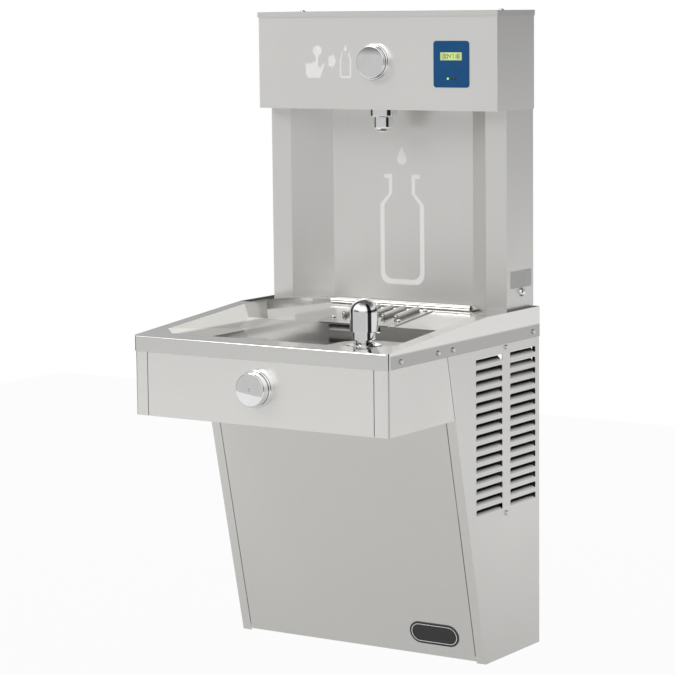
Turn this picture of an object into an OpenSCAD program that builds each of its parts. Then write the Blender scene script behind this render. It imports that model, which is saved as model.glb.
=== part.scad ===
// Wall-hung bottle filling station with a chilled cabinet and a drinking basin.
// X runs to the right, Y into the wall and Z up, and the wall is the plane Y = 0.
// Depths (names ending in _d) are distances from the wall, so they lie at negative Y.
// Heights (names ending in _z) start at the cabinet's foot. Each module lowers its piece
// by mount_h, which puts the origin midway between the wall hanger's two screws.

/* [Cabinet] */
// Width over the side panels
cabinet_w = 455; // [440:1:480]
// Depth of the cabinet at its foot
foot_d = 169.4; // [165:0.1:185]
// Height of the hanger's wall screws above the foot
mount_h = 400; // [390:1:402]
// Thickness of the folded steel sheet
sheet_t = 0.9; // [0.7:0.1:1.1]
// Width of the flanges beside the access panel
flange_w = 16; // [12:0.5:20]

/* [Apron and basin] */
// Height of the apron's underside above the foot
apron_low = 391; // [385:1:400]
// Height of the apron's face below the basin lip
apron_h = 98; // [95:1:110]
// Depth over the basin lip
basin_d = 444; // [425:1:470]
// Height of the basin's front lip
lip_h = 24; // [22:1:30]
// Rise of the rim from the front to the ledge that carries the tower
rim_rise = 23.5; // [18:0.5:28]
// Depth at which the sloping rim becomes level
rim_level_d = 165; // [150:1:175]
// Width of the flat rim beside the bowl
rim_w = 22.5; // [20:0.5:26]
// Depth of the bowl's floor below the front lip
bowl_drop = 17; // [14:1:22]
// Distance of the bubbler from the bowl's right side
bubbler_side = 56; // [52:1:60]
// Distance of the bubbler behind the basin lip
bubbler_back = 59; // [57:1:64]

/* [Tower] */
// Width of the tower over its columns
tower_w = 434.4; // [425:0.2:440]
// Depth of the tower's columns
tower_d = 83.5; // [78:0.5:90]
// Height of the alcove that takes the bottle
alcove_h = 307; // [280:1:340]
// Width of the alcove's back
alcove_w = 260.8; // [250:0.2:270]
// Distance of the alcove's back from the wall
alcove_d = 36.6; // [34:0.2:40]
// Width of the columns' front faces
column_w = 37.2; // [34:0.2:40]
// Height of the head cover
head_h = 151; // [145:1:165]
// Depth of the head cover
head_d = 114; // [110:1:125]
// Overlap of the lid's lip over the head cover
lid_lip = 7.4; // [5:0.2:12]

/* [Buttons and nozzle] */
// Height of the filler button above the head's underside
filler_up = 74; // [70:1:80]
// Height of the bubbler button above the apron's underside
bubbler_button_up = 56.3; // [52:0.1:60]
// Diameter of the button caps
cap_dia = 51; // [46:1:54]
// Distance that the filler cap stands proud of the sheet
cap_proud = 15; // [14:0.5:18]
// Distance that the bubbler cap stands proud of the sheet
apron_cap_proud = 22; // [20:0.5:24]
// Travel of the buttons
button_travel = 4; // [2:0.5:4.5]
// Distance of the nozzle from the wall
nozzle_d = 90; // [88:1:94]
// Length of the nozzle below the head
nozzle_len = 35.5; // [32:0.5:45]

/* [Cooling] */
// Diameter of the compressor's shell
compressor_dia = 112; // [100:1:116]
// Diameter of the fan blades
fan_dia = 152; // [140:1:154]
// Diameter of the filter cartridge
cartridge_dia = 80; // [70:1:82]
// Diameter of the cold water tank
tank_dia = 96; // [90:1:98]

/* [Hidden] */
$fn = 48;

// Colours
steel = [0.80, 0.80, 0.78];
chrome = [0.90, 0.90, 0.91];
zinc = [0.66, 0.68, 0.69];
copper = [0.72, 0.43, 0.26];
black = [0.08, 0.08, 0.09];
rubber = [0.12, 0.12, 0.12];
panel_blue = [0.05, 0.24, 0.48];
print_white = [0.90, 0.90, 0.88];
foam_grey = [0.86, 0.86, 0.82];
white = [0.93, 0.94, 0.95];
board_green = [0.10, 0.36, 0.20];
window_green = [0.72, 0.80, 0.32];

// Fits shared by the whole part
seat_gap = 0.1;      // between sheets that lap or butt
screw_gap = 0.25;    // round screws and pipes in their holes
run_gap = 0.05;      // radial clearance of shafts and stems
seam_gap = 1.2;      // visible seam between panels
overrun = 3;         // extra length of every cut
edge_r = 2.5;        // rounding of folded edges

// Heights above the foot and half widths
lip_z = apron_low + apron_h;
front_z = lip_z + lip_h;
ledge_z = front_z + rim_rise;
head_z = ledge_z + alcove_h;
head_top_z = head_z + head_h;
lid_z = head_top_z + seat_gap;
cabinet_half = cabinet_w / 2;
panel_in = cabinet_half - sheet_t;
basin_half = cabinet_half + seat_gap + sheet_t;
front_lean_share = 0.2236;

// Depth of the cabinet's sloping front at a height
function front_d(z) = foot_d + front_lean_share * z;

// Box between two corners
module slab(lo, hi) {
    translate(lo) cube(hi - lo);
}

// Hole through a sheet that starts at the origin and lies across Z
module sheet_hole(r) {
    translate([0, 0, -overrun]) cylinder(h = sheet_t + overrun + overrun, r = r);
}

// Outline in Y and Z, carried along X from x0 to x1
module across_x(x0, x1) {
    translate([x0, 0, 0]) rotate([90, 0, 90]) linear_extrude(x1 - x0) children();
}

// Outline in X and Z, carried forward from depth d0 to depth d1
module across_y(d0, d1) {
    translate([0, -d0, 0]) rotate([90, 0, 0]) linear_extrude(d1 - d0) children();
}

// Outline in X and Y, carried up from z0 to z1
module up_z(z0, z1) {
    translate([0, 0, z0]) linear_extrude(z1 - z0) children();
}

// Stands a turned piece on its side: its own Z points forward from depth d
module facing_front(x, d, z) {
    translate([x, -d, z]) rotate([90, 0, 0]) children();
}

// Its own Z points to the right from x
module facing_right(x, d, z) {
    translate([x, -d, z]) rotate([0, 90, 0]) children();
}

// Lowers a piece from foot heights to the hanger's origin
module at_mount() {
    translate([0, 0, -mount_h]) children();
}

// Left and right copies of a right-hand piece
module both_sides() {
    children();
    mirror([1, 0, 0]) children();
}

// Disc whose outer top edge is rounded
module soft_disc(r, h, edge) {
    rotate_extrude() {
        square([r, h - edge]);
        square([r - edge, h]);
        translate([r - edge, h - edge]) intersection() {
            circle(edge);
            square(edge + edge);
        }
    }
}

// Ring with a rounded outer top edge
module soft_ring(r, bore_r, h, edge) {
    difference() {
        soft_disc(r, h, edge);
        translate([0, 0, -overrun]) cylinder(h = h + overrun + overrun, r = bore_r);
    }
}

// Rectangle about the origin with round corners
module soft_square(w, h, r) {
    square([w - r - r, h], center = true);
    square([w, h - r - r], center = true);
    for (sx = [-1, 1], sy = [-1, 1])
        translate([sx * (w / 2 - r), sy * (h / 2 - r)]) circle(r);
}

// Straight round bar between two points
module rod(from, to, r) {
    d = to - from;
    l = norm(d);
    translate(from) rotate([0, acos(d[2] / l), atan2(d[1], d[0])]) cylinder(h = l, r = r);
}

// Pipe along a list of points with a swollen elbow at each bend
module pipe_run(points, r, swell) {
    for (i = [0 : len(points) - 2])
        rod(points[i], points[i + 1], r);
    for (i = [1 : len(points) - 2])
        translate(points[i]) sphere(r + swell);
}

// Coil spring that rises along Z, as one unbroken tube
module coil_spring(r, wire_r, turns, h) {
    steps_a_turn = 14;
    sides = 6;
    steps = steps_a_turn * turns;
    rise = (h - wire_r - wire_r) / turns;
    points = [for (i = [0 : steps], k = [0 : sides - 1])
        let (a = 360 * turns * i / steps, b = 360 * k / sides, reach = r + wire_r * cos(b))
        [reach * cos(a), reach * sin(a), wire_r + rise * a / 360 + wire_r * sin(b)]];
    walls = [for (i = [0 : steps - 1], k = [0 : sides - 1], half = [0, 1])
        let (a = i * sides + k, b = i * sides + (k + 1) % sides)
        half == 0 ? [a, b, b + sides] : [a, b + sides, a + sides]];
    first_cap = [for (k = [1 : sides - 2]) [0, k + 1, k]];
    last = steps * sides;
    last_cap = [for (k = [1 : sides - 2]) [last, last + k, last + k + 1]];
    polyhedron(points, concat(walls, first_cap, last_cap));
}

// Cabinet, seen from behind and from the side

hanger_t = 2;
hanger_w = cabinet_w - 75;
hanger_half_h = 30;
hanger_hole_half = hanger_w / 2 - 20;
hanger_hole_r = 3.5;
hanger_shelf_t = 2;
hanger_stand_off = 5.5;
hanger_hook_h = 12;
hanger_hook_z = mount_h + hanger_half_h + hanger_hook_h;

// Plate screwed to the wall, with an upturned hook along its top
module wall_hanger() {
    color(zinc) at_mount() difference() {
        across_x(-hanger_w / 2, hanger_w / 2) {
            translate([-hanger_t, mount_h - hanger_half_h])
                square([hanger_t, hanger_half_h + hanger_half_h]);
            translate([-hanger_stand_off - hanger_t, mount_h + hanger_half_h - hanger_shelf_t])
                square([hanger_stand_off + hanger_t, hanger_shelf_t]);
            translate([-hanger_stand_off - hanger_t, mount_h + hanger_half_h - hanger_shelf_t])
                square([hanger_t, hanger_hook_h + hanger_shelf_t]);
        }
        for (side = [-1, 1])
            facing_front(side * hanger_hole_half, -overrun, mount_h)
                cylinder(h = hanger_t + overrun + overrun, r = hanger_hole_r);
    }
}

back_d = 22;
back_low_z = 6;
back_flange_w = 20;
rail_t = 2;
rail_lip_h = 9;
rail_lip_gap = 1.2;
back_top_z = hanger_hook_z + rail_t;
cabinet_bolt_half = hanger_hole_half;
blade_depth = 6;
back_half = panel_in - blade_depth - seam_gap;
cabinet_bolt_z = 40;

// Recessed back with side flanges and the rail that drops over the hanger's hook
module back_panel() {
    color(zinc) at_mount() difference() {
        union() {
            slab([-back_half, -back_d - sheet_t, back_low_z], [back_half, -back_d, back_top_z]);
            both_sides()
                slab([back_half - sheet_t, -back_d - sheet_t, back_low_z],
                     [back_half, -back_d + back_flange_w, back_top_z]);
            slab([-hanger_w / 2, -back_d - sheet_t, hanger_hook_z],
                 [hanger_w / 2, -rail_lip_gap, back_top_z]);
            slab([-hanger_w / 2, -rail_lip_gap - rail_t, hanger_hook_z - rail_lip_h],
                 [hanger_w / 2, -rail_lip_gap, back_top_z]);
        }
        for (side = [-1, 1])
            facing_front(side * cabinet_bolt_half, back_d, cabinet_bolt_z)
                sheet_hole(hanger_hole_r);
    }
}

pan_z = 10;
pan_side_h = 12;
waste_x = -30;
waste_d = 45;
inlet_x = 50;
inlet_d = 45;
gland_x = panel_in - 61.6;
gland_d = 42;
waste_r = 15.875;
waste_bore_r = 14.3;
waste_port_r = 30;
inlet_port_r = 18;
gland_r = 9;

// Floor of the cabinet, with openings for the waste, the inlet and the cord
module base_pan() {
    front = front_d(pan_z) - sheet_t - seat_gap;
    color(zinc) at_mount() difference() {
        union() {
            slab([-panel_in + seat_gap, -front, pan_z],
                 [panel_in - seat_gap, -back_d - sheet_t - seat_gap, pan_z + sheet_t]);
            both_sides()
                slab([panel_in - seat_gap - sheet_t, -front, pan_z],
                     [panel_in - seat_gap, -back_d - sheet_t - seat_gap, pan_z + pan_side_h]);
        }
        translate([waste_x, -waste_d, pan_z]) sheet_hole(waste_port_r);
        translate([inlet_x, -inlet_d, pan_z]) sheet_hole(inlet_port_r);
        translate([gland_x, -gland_d, pan_z]) sheet_hole(gland_r + screw_gap);
    }
}

panel_top_z = front_z + seat_gap + seat_gap;
return_w = 12;
louvre_rows = 15;
louvre_pitch = 16.48;
louvre_h = 9.6;
louvre_drop = 14;
louvre_top_z = lip_z - louvre_drop;
louvre_r = 3;
louvre_near_d = 12;
louvre_far_d = 196;
louvre_web = 24;
slot_w = (louvre_far_d - louvre_near_d - louvre_web) / 2;
blade_rise_share = 0.75;
side_screw_d = 104.5;
side_screw_drops = [5.2, 263];
screw_r = 1.9;
screw_hole_r = screw_r + screw_gap;

function louvre_d(column) =
    louvre_near_d + slot_w / 2 + column * (slot_w + louvre_web);

function louvre_z(row) = louvre_top_z - louvre_h / 2 - row * louvre_pitch;

// Right side panel: sloping front edge with a flange, louvres pressed inwards, rear return
module side_panel() {
    difference() {
        union() {
            across_x(panel_in, cabinet_half) polygon([
                [0, 0], [-front_d(0), 0], [-front_d(panel_top_z), panel_top_z],
                [-sheet_t - seat_gap, panel_top_z], [-sheet_t - seat_gap, lip_z - seam_gap],
                [0, lip_z - seam_gap]]);
            across_x(cabinet_half - flange_w, cabinet_half) polygon([
                [-front_d(0), 0], [-front_d(panel_top_z), panel_top_z],
                [-front_d(panel_top_z) + sheet_t, panel_top_z], [-front_d(0) + sheet_t, 0]]);
            slab([cabinet_half - return_w, -sheet_t, 0], [cabinet_half, 0, lip_z - seam_gap]);
        }
        across_x(panel_in - overrun, cabinet_half + overrun)
            for (row = [0 : louvre_rows - 1], column = [0, 1])
                translate([-louvre_d(column), louvre_z(row)])
                    soft_square(slot_w, louvre_h, louvre_r);
        for (drop = side_screw_drops)
            facing_right(panel_in, side_screw_d, lip_z - drop) sheet_hole(screw_hole_r);
        for (d = skirt_screw_ds)
            facing_right(panel_in, d, skirt_z) sheet_hole(screw_hole_r);
    }
    for (row = [0 : louvre_rows - 1], column = [0, 1])
        louvre_blade(louvre_d(column), louvre_z(row) - louvre_h / 2);
}

// Blade that slopes inwards and up from a slot's lower edge
module louvre_blade(d, low_z) {
    half = slot_w / 2 - louvre_r;
    rise = louvre_h * blade_rise_share;
    across_y(d - half, d + half) polygon([
        [cabinet_half, low_z], [cabinet_half, low_z - sheet_t / 2], [panel_in, low_z - sheet_t],
        [panel_in - blade_depth, low_z + rise - sheet_t], [panel_in - blade_depth, low_z + rise]]);
}

module right_side_panel() {
    color(steel) at_mount() side_panel();
}

module left_side_panel() {
    color(steel) at_mount() mirror([1, 0, 0]) side_panel();
}

access_low_z = 3;
access_tuck = 9;
access_top_z = apron_low + access_tuck;
access_half = cabinet_half - flange_w - seam_gap;
access_return = 11;
badge_w = 88;
badge_h = 36;
badge_t = 0.8;
badge_x = access_half - 69.3;
badge_z = 39;

// Outline in Y and Z of a strip of sheet that lies in the sloping front
module front_strip(z0, z1, out, back) {
    polygon([
        [-front_d(z0) - out, z0], [-front_d(z1) - out, z1],
        [-front_d(z1) + back, z1], [-front_d(z0) + back, z0]]);
}

// Removable front, a shallow pan of sheet
module access_panel() {
    color(steel) at_mount() {
        across_x(-access_half, access_half)
            front_strip(access_low_z, access_top_z, 0, sheet_t);
        both_sides() across_x(access_half - sheet_t, access_half)
            front_strip(pan_z + sheet_t + seam_gap, access_top_z, 0, access_return);
        across_x(-access_half, access_half)
            front_strip(access_low_z, access_low_z + sheet_t, 0, access_return);
    }
}

// Bare oval plate on the access panel
module access_panel_plate() {
    lean = atan(front_lean_share);
    color(black) at_mount()
        translate([badge_x, -front_d(badge_z) - seat_gap, badge_z]) rotate([90 + lean, 0, 0])
            linear_extrude(badge_t) soft_square(badge_w, badge_h, badge_h / 2 - seat_gap);
}

// Apron and basin

apron_d = basin_d - sheet_t - seat_gap;
apron_corner_r = 6;
face_half = cabinet_half - 24.5;
apron_tuck = 6;
skirt_drop = 14.7;
apron_top_z = front_z - apron_tuck;
apron_back_d = front_d(apron_low) - return_w;
skirt_z = front_z - skirt_drop;
skirt_screw_ds = [front_d(skirt_z) - 16.8, 20.7];
apron_screw_ds = [basin_d - 34, front_d(skirt_z) + 25.6];

// Plan with round front corners that reaches back to depth back
module corner_plan(half, front, r, back) {
    translate([-half, -front + r]) square([half + half, front - r - back]);
    translate([-half + r, -front]) square([half + half - r - r, r + r]);
    for (side = [-1, 1])
        translate([side * (half - r), -front + r]) circle(r);
}

// Region in Y and Z in front of the side panels' sloping edges
module ahead_of_panels(z0, z1) {
    polygon([
        [-front_d(z0) - seam_gap, z0], [-apron_d - overrun, z0],
        [-apron_d - overrun, z1], [-front_d(z1) - seam_gap, z1]]);
}

// Sides, front corners and underside, folded from one sheet
module apron_wrap() {
    color(steel) at_mount() {
        difference() {
            intersection() {
                up_z(apron_low, apron_top_z) difference() {
                    corner_plan(cabinet_half, apron_d, apron_corner_r, apron_back_d);
                    corner_plan(panel_in, apron_d - sheet_t, apron_corner_r - sheet_t, 0);
                }
                across_x(-cabinet_w, cabinet_w) ahead_of_panels(apron_low, apron_top_z);
            }
            slab([-face_half - seam_gap / 2, -apron_d - overrun, apron_low - overrun],
                 [face_half + seam_gap / 2, -apron_d + sheet_t + overrun,
                  apron_top_z + overrun]);
            for (side = [-1, 1], d = apron_screw_ds)
                facing_right(side * cabinet_half, d, skirt_z)
                    sheet_hole(screw_hole_r);
        }
        intersection() {
            up_z(apron_low, apron_low + sheet_t)
                corner_plan(panel_in, apron_d - sheet_t, apron_corner_r - sheet_t, apron_back_d);
            across_x(-cabinet_w, cabinet_w)
                ahead_of_panels(apron_low, apron_low + sheet_t);
        }
    }
}

bezel_r = 28.5;
sleeve_r = 22;
apron_cap_z = apron_low + bubbler_button_up;

// Plate that closes the apron's face and carries the bubbler button
module apron_front_plate() {
    color(steel) at_mount() difference() {
        slab([-face_half + seam_gap / 2, -apron_d, apron_low],
             [face_half - seam_gap / 2, -apron_d + sheet_t, apron_top_z]);
        slab([-face_half, -apron_d - overrun, lip_z - seam_gap],
             [face_half, -apron_d + sheet_t / 2, lip_z]);
        facing_front(0, apron_d - sheet_t, apron_cap_z) sheet_hole(sleeve_r + screw_gap);
    }
}

bowl_front_band = 30;
bowl_corner_cut = 28;
bowl_draft = 14;
bowl_thin = 0.2;
deck_front_d = 180;
deck_rear_d = 45;
deck_bend_d = 121;
deck_corner_x = alcove_w / 2;
deck_slope_share = 0.1;
deck_front_z = front_z + 0.02 * lip_h;
pad_r = 46;
pad_rise = 2.5;
pad_z = front_z + pad_rise;
bubbler_d = basin_d - bubbler_back;
pipe_hole_x = 150;
pipe_hole_d = 18;
pipe_hole_r = 6;
shank_r = 8;
sump_half = 56;
sump_front_d = 179;
sump_rear_d = 78;
sump_drop = 24;
waste_hole_d = 120;
waste_hole_r = 20;
slot_half = 48;
slot_low = 6.5;
slot_h = 9.5;
slot_r = 3;
bead_r = 4.5;
bowl_z = front_z - bowl_drop;
rim_in = basin_half - rim_w;
bubbler_x = rim_in - bubbler_side;
sump_z = front_z - sump_drop;

function rim_z(d) = d < rim_level_d ? ledge_z
    : front_z + rim_rise * (basin_d - d) / (basin_d - rim_level_d);

function deck_z(d) = deck_front_z + deck_slope_share * (deck_front_d - d);

// Outline in Y and Z below the rim, lowered by drop, with the front edge rounded
module rim_profile(low, drop) {
    polygon(concat(
        [[0, low], [-basin_d, low]],
        [for (a = [180 : -15 : 105])
            [-basin_d + edge_r + edge_r * cos(a), front_z - drop - edge_r + edge_r * sin(a)]],
        [[-rim_level_d, ledge_z - drop], [0, ledge_z - drop]]));
}

// Plan of the bowl, grown by an amount, with cut front corners
module bowl_plan(grow) {
    half = rim_in + grow;
    front = basin_d - bowl_front_band + grow;
    polygon([
        [-half, -deck_front_d + max(grow, 0)], [-half, -front + bowl_corner_cut],
        [-half + bowl_corner_cut, -front], [half - bowl_corner_cut, -front],
        [half, -front + bowl_corner_cut], [half, -deck_front_d + max(grow, 0)]]);
}

// Corner that stays standing in the bowl to carry the bubbler
module pad_plan(grow) {
    r = pad_r + grow;
    translate([bubbler_x, -bubbler_d]) circle(r);
    translate([bubbler_x, -bubbler_d - r - pad_r]) square([pad_r + pad_r, r + r + pad_r]);
    translate([bubbler_x - r, -bubbler_d - r - pad_r]) square([r + pad_r, r + pad_r]);
}

// Space of the bowl, grown by the sheet where it shapes the underside
module bowl_space(grow) {
    difference() {
        hull() {
            up_z(bowl_z - grow, bowl_z - grow + bowl_thin) bowl_plan(grow - bowl_draft);
            intersection() {
                up_z(lip_z, ledge_z + ledge_z) bowl_plan(grow);
                across_x(-basin_half, basin_half) polygon([
                    [-rim_level_d, rim_z(rim_level_d)], [-basin_d, rim_z(basin_d)],
                    [-basin_d, rim_z(basin_d) + overrun],
                    [-rim_level_d, rim_z(rim_level_d) + overrun]]);
            }
        }
        up_z(bowl_z - overrun - grow, pad_z - grow) pad_plan(-grow);
    }
}

// Space over the sloping rear deck
module deck_space(grow) {
    intersection() {
        across_x(-basin_half, basin_half) polygon([
            [-deck_front_d - overrun, deck_z(deck_front_d + overrun) - grow],
            [0, deck_z(0) - grow],
            [0, ledge_z + overrun], [-deck_front_d - overrun, ledge_z + overrun]]);
        up_z(bowl_z, ledge_z + overrun) polygon([
            [-rim_in - grow, -deck_front_d - overrun], [rim_in + grow, -deck_front_d - overrun],
            [rim_in + grow, -deck_bend_d + grow], [deck_corner_x, -deck_rear_d + grow],
            [-deck_corner_x, -deck_rear_d + grow], [-rim_in - grow, -deck_bend_d + grow]]);
    }
}

// Sump below the drain plate
module sump_space(grow) {
    slab([-sump_half - grow, -sump_front_d - grow, sump_z - grow],
         [sump_half + grow, -sump_rear_d + grow, ledge_z]);
}

// Drawn basin: rim, bowl, sloping rear deck, sump, skirts and front lip
module basin() {
    color(steel) at_mount() {
        difference() {
            intersection() {
                up_z(lip_z, ledge_z + overrun)
                    corner_plan(basin_half, basin_d, apron_corner_r, 0);
                across_x(-basin_half, basin_half) rim_profile(lip_z, 0);
            }
            difference() {
                intersection() {
                    up_z(lip_z - overrun, ledge_z + overrun) corner_plan(
                        basin_half - sheet_t, basin_d - sheet_t, apron_corner_r - sheet_t, sheet_t);
                    across_x(-basin_half, basin_half) rim_profile(lip_z - overrun, sheet_t);
                }
                bowl_space(sheet_t);
                deck_space(sheet_t);
                sump_space(sheet_t);
            }
            bowl_space(0);
            deck_space(0);
            sump_space(0);
            across_y(sump_rear_d, deck_front_d + overrun)
                translate([0, bowl_z + slot_low + slot_h / 2])
                    soft_square(slot_half + slot_half, slot_h, slot_r);
            translate([0, -waste_hole_d, sump_z]) sheet_hole(waste_hole_r);
            translate([bubbler_x, -bubbler_d, pad_z - sheet_t]) sheet_hole(shank_r + screw_gap);
            translate([-pipe_hole_x, -pipe_hole_d, ledge_z - sheet_t]) sheet_hole(pipe_hole_r);
            for (side = [-1, 1], d = concat(skirt_screw_ds, apron_screw_ds))
                facing_right(side * basin_half, d, skirt_z)
                    sheet_hole(screw_hole_r);
        }
        facing_right(-deck_corner_x, deck_rear_d, deck_z(deck_rear_d) + bead_r)
            cylinder(h = deck_corner_x + deck_corner_x, r = bead_r);
    }
}

plate_half = 71;
plate_t = 1.5;
plate_front_d = 182;
plate_rear_d = 62;
plate_cut = 8;
rib_count = 5;
rib_pitch = 24;
rib_r = 4.2;
rib_up = plate_t + 0.8 * rib_r;
rib_front_d = 133;
rib_rear_d = 70;
plate_slot_d = 84;
plate_slot_w = 13;
plate_slot_h = 5;
plate_screw_half = 60;
plate_screw_ds = [147, 67];
plate_screw_r = 3.6;
plate_screw_h = 2.6;
deck_seat = 0.15;

function rib_x(i) = (i - (rib_count - 1) / 2) * rib_pitch;

// Ribbed strainer plate that lies on the rear deck
module drain_plate() {
    color(chrome) at_mount() {
        difference() {
            intersection() {
                across_x(-plate_half, plate_half) polygon([
                    [-plate_front_d, deck_z(plate_front_d) + deck_seat],
                    [-plate_rear_d, deck_z(plate_rear_d) + deck_seat],
                    [-plate_rear_d, deck_z(plate_rear_d) + deck_seat + plate_t],
                    [-plate_front_d, deck_z(plate_front_d) + deck_seat + plate_t]]);
                up_z(bowl_z, ledge_z + overrun) polygon([
                    [-plate_half, -plate_rear_d], [-plate_half, -plate_front_d + plate_cut],
                    [-plate_half + plate_cut, -plate_front_d],
                    [plate_half - plate_cut, -plate_front_d],
                    [plate_half, -plate_front_d + plate_cut], [plate_half, -plate_rear_d]]);
            }
            up_z(bowl_z, ledge_z) for (i = [0 : rib_count - 2])
                translate([rib_x(i) + rib_pitch / 2, -plate_slot_d])
                    soft_square(plate_slot_w, plate_slot_h, plate_slot_h / 2 - seat_gap);
            for (side = [-1, 1], d = plate_screw_ds)
                translate([side * plate_screw_half, -d, bowl_z])
                    cylinder(h = ledge_z - bowl_z, r = screw_hole_r);
        }
        for (i = [0 : rib_count - 1]) {
            rod([rib_x(i), -rib_front_d, deck_z(rib_front_d) + rib_up],
                [rib_x(i), -rib_rear_d, deck_z(rib_rear_d) + rib_up], rib_r);
            translate([rib_x(i), -rib_front_d, deck_z(rib_front_d) + rib_up])
                sphere(rib_r + deck_seat);
        }
    }
}

// Domed screws that hold the drain plate
module drain_plate_screws() {
    seat = plate_t + deck_seat + deck_seat + plate_screw_r * deck_slope_share;
    color(chrome) at_mount() for (side = [-1, 1], d = plate_screw_ds)
        translate([side * plate_screw_half, -d, deck_z(d) + seat]) {
            soft_disc(plate_screw_r, plate_screw_h, plate_screw_h - seat_gap);
            translate([0, 0, -plate_t]) cylinder(h = plate_t + seat_gap, r = screw_r);
        }
}

panel_screw_r = 3.8;
panel_screw_h = 2.4;
panel_screw_len = 7;

// Pan-head screw whose head seats on a side face at x
module side_screw(x, d, z) {
    facing_right(x, d, z) {
        soft_disc(panel_screw_r, panel_screw_h, panel_screw_h / 2);
        translate([0, 0, -panel_screw_len]) cylinder(h = panel_screw_len + seat_gap, r = screw_r);
    }
}

// Screws through the basin's skirts and the side panels
module panel_screws() {
    color(zinc) at_mount() both_sides() {
        for (d = concat(skirt_screw_ds, apron_screw_ds))
            side_screw(basin_half, d, skirt_z);
        for (drop = side_screw_drops)
            side_screw(cabinet_half, side_screw_d, lip_z - drop);
    }
}

base_r = 26.5;
base_h = 4;
collar_r = 13;
collar_h = 4;
barrel_r = 17.9;
hood_r = 20.8;
hood_low = 18.5;
bubbler_h = 65.5;
mouth_r = 9;
shank_len = 26;
nut_r = 15;
nut_h = 7;

// Spun flange that the bubbler stands on, with a collar
module bubbler_base() {
    color(chrome) at_mount() translate([bubbler_x, -bubbler_d, pad_z]) difference() {
        rotate_extrude() polygon([
            [0, 0], [base_r, 0], [base_r, base_h / 5], [collar_r + collar_h / 2, base_h],
            [collar_r, base_h], [collar_r, base_h + collar_h], [0, base_h + collar_h]]);
        translate([0, 0, -overrun])
            cylinder(h = base_h + collar_h + overrun + overrun, r = shank_r + screw_gap);
    }
}

// Domed hood with its barrel and the threaded shank under it
module bubbler_hood() {
    foot = base_h + collar_h;
    dome = hood_r * 0.86;
    color(chrome) at_mount() translate([bubbler_x, -bubbler_d, pad_z]) {
        difference() {
            rotate_extrude() {
                translate([0, foot]) square([barrel_r, hood_low - foot + overrun]);
                translate([0, hood_low]) polygon([
                    [0, 0], [hood_r - 1.2 * edge_r, 0], [hood_r, edge_r / 2],
                    [hood_r, bubbler_h - hood_low - dome], [0, bubbler_h - hood_low - dome]]);
                intersection() {
                    translate([0, bubbler_h - dome]) scale(dome / hood_r)
                        circle(hood_r * hood_r / dome);
                    translate([0, bubbler_h - dome]) square([hood_r, hood_r + hood_r]);
                }
            }
            translate([-hood_r, 0, hood_low + mouth_r * 2.2]) rotate([0, 90, 25])
                cylinder(h = hood_r, r = mouth_r);
        }
        translate([0, 0, -shank_len]) cylinder(h = shank_len + foot + seat_gap, r = shank_r);
    }
}

// Six-sided nut that draws the bubbler down from below
module bubbler_nut() {
    color(zinc) at_mount()
        translate([bubbler_x, -bubbler_d, pad_z - sheet_t - nut_h]) difference() {
            cylinder(h = nut_h, r = nut_r, $fn = 6);
            translate([0, 0, -overrun])
                cylinder(h = nut_h + overrun + overrun, r = shank_r + screw_gap);
        }
}

cup_flange_r = 27;
cup_flange_t = 3;
cup_h = 22;
waste_bend_z = 448;
waste_knee_z = 436;
waste_end_z = 5;
waste_stub = 40;
coupling_r = 21;
coupling_h = 27;
elbow_swell = 0.7;

// Waste cup under the sump and the pipe down to its plain end under the cabinet
module waste_pipe() {
    top = sump_z - sheet_t;
    knee = [waste_x, -waste_d, waste_knee_z];
    bend = [0, -waste_hole_d, waste_bend_z];
    head = [0, -waste_hole_d, top - cup_flange_t];
    foot = [waste_x, -waste_d, waste_end_z];
    past = [0, 0, overrun];
    color(chrome) at_mount() difference() {
        union() {
            translate([0, -waste_hole_d, top - cup_flange_t])
                cylinder(h = cup_flange_t, r = cup_flange_r);
            translate([0, -waste_hole_d, top - cup_h]) cylinder(h = cup_h, r = waste_hole_r);
            pipe_run([head, bend, knee, foot], waste_r, elbow_swell);
            translate([waste_x, -waste_d, waste_end_z + waste_stub])
                cylinder(h = coupling_h, r = coupling_r);
        }
        pipe_run([head + past, bend, knee, foot - past], waste_bore_r, elbow_swell / 2);
        translate([0, -waste_hole_d, top - cup_h / 2]) cylinder(h = cup_h, r = waste_hole_r - sheet_t);
    }
}

// Tower

tower_half = tower_w / 2;
column_in = tower_half - column_w;
column_top_z = head_z - seat_gap;
back_plate_top_z = head_top_z - overrun;
foot_fold = 14;

// Rear plate that ties the columns, the liner and the head together
module tower_back_plate() {
    color(zinc) at_mount()
        slab([-tower_half + sheet_t + seat_gap, -sheet_t, ledge_z + seat_gap],
             [tower_half - sheet_t - seat_gap, 0, back_plate_top_z]);
}

lock_d = 37.5;
lock_up = 25;
lock_z = ledge_z + lock_up;
lock_r = 7;
lock_shank_r = 4;

// Right-hand column: outer side, front face and folded foot
module column_shell() {
    difference() {
        union() {
            slab([tower_half - sheet_t, -tower_d, ledge_z], [tower_half, 0, column_top_z]);
            slab([column_in + seat_gap, -tower_d, ledge_z],
                 [tower_half, -tower_d + sheet_t, column_top_z]);
            slab([column_in + foot_fold, -tower_d, ledge_z],
                 [tower_half, -tower_d + column_w, ledge_z + sheet_t]);
        }
        facing_right(tower_half - sheet_t, lock_d, lock_z) sheet_hole(lock_shank_r + screw_gap);
    }
}

module right_column() {
    color(steel) at_mount() column_shell();
}

module left_column() {
    color(steel) at_mount() mirror([1, 0, 0]) column_shell();
}

inlay_t = 0.3;
cheek_slip = sheet_t * 0.7;

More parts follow.
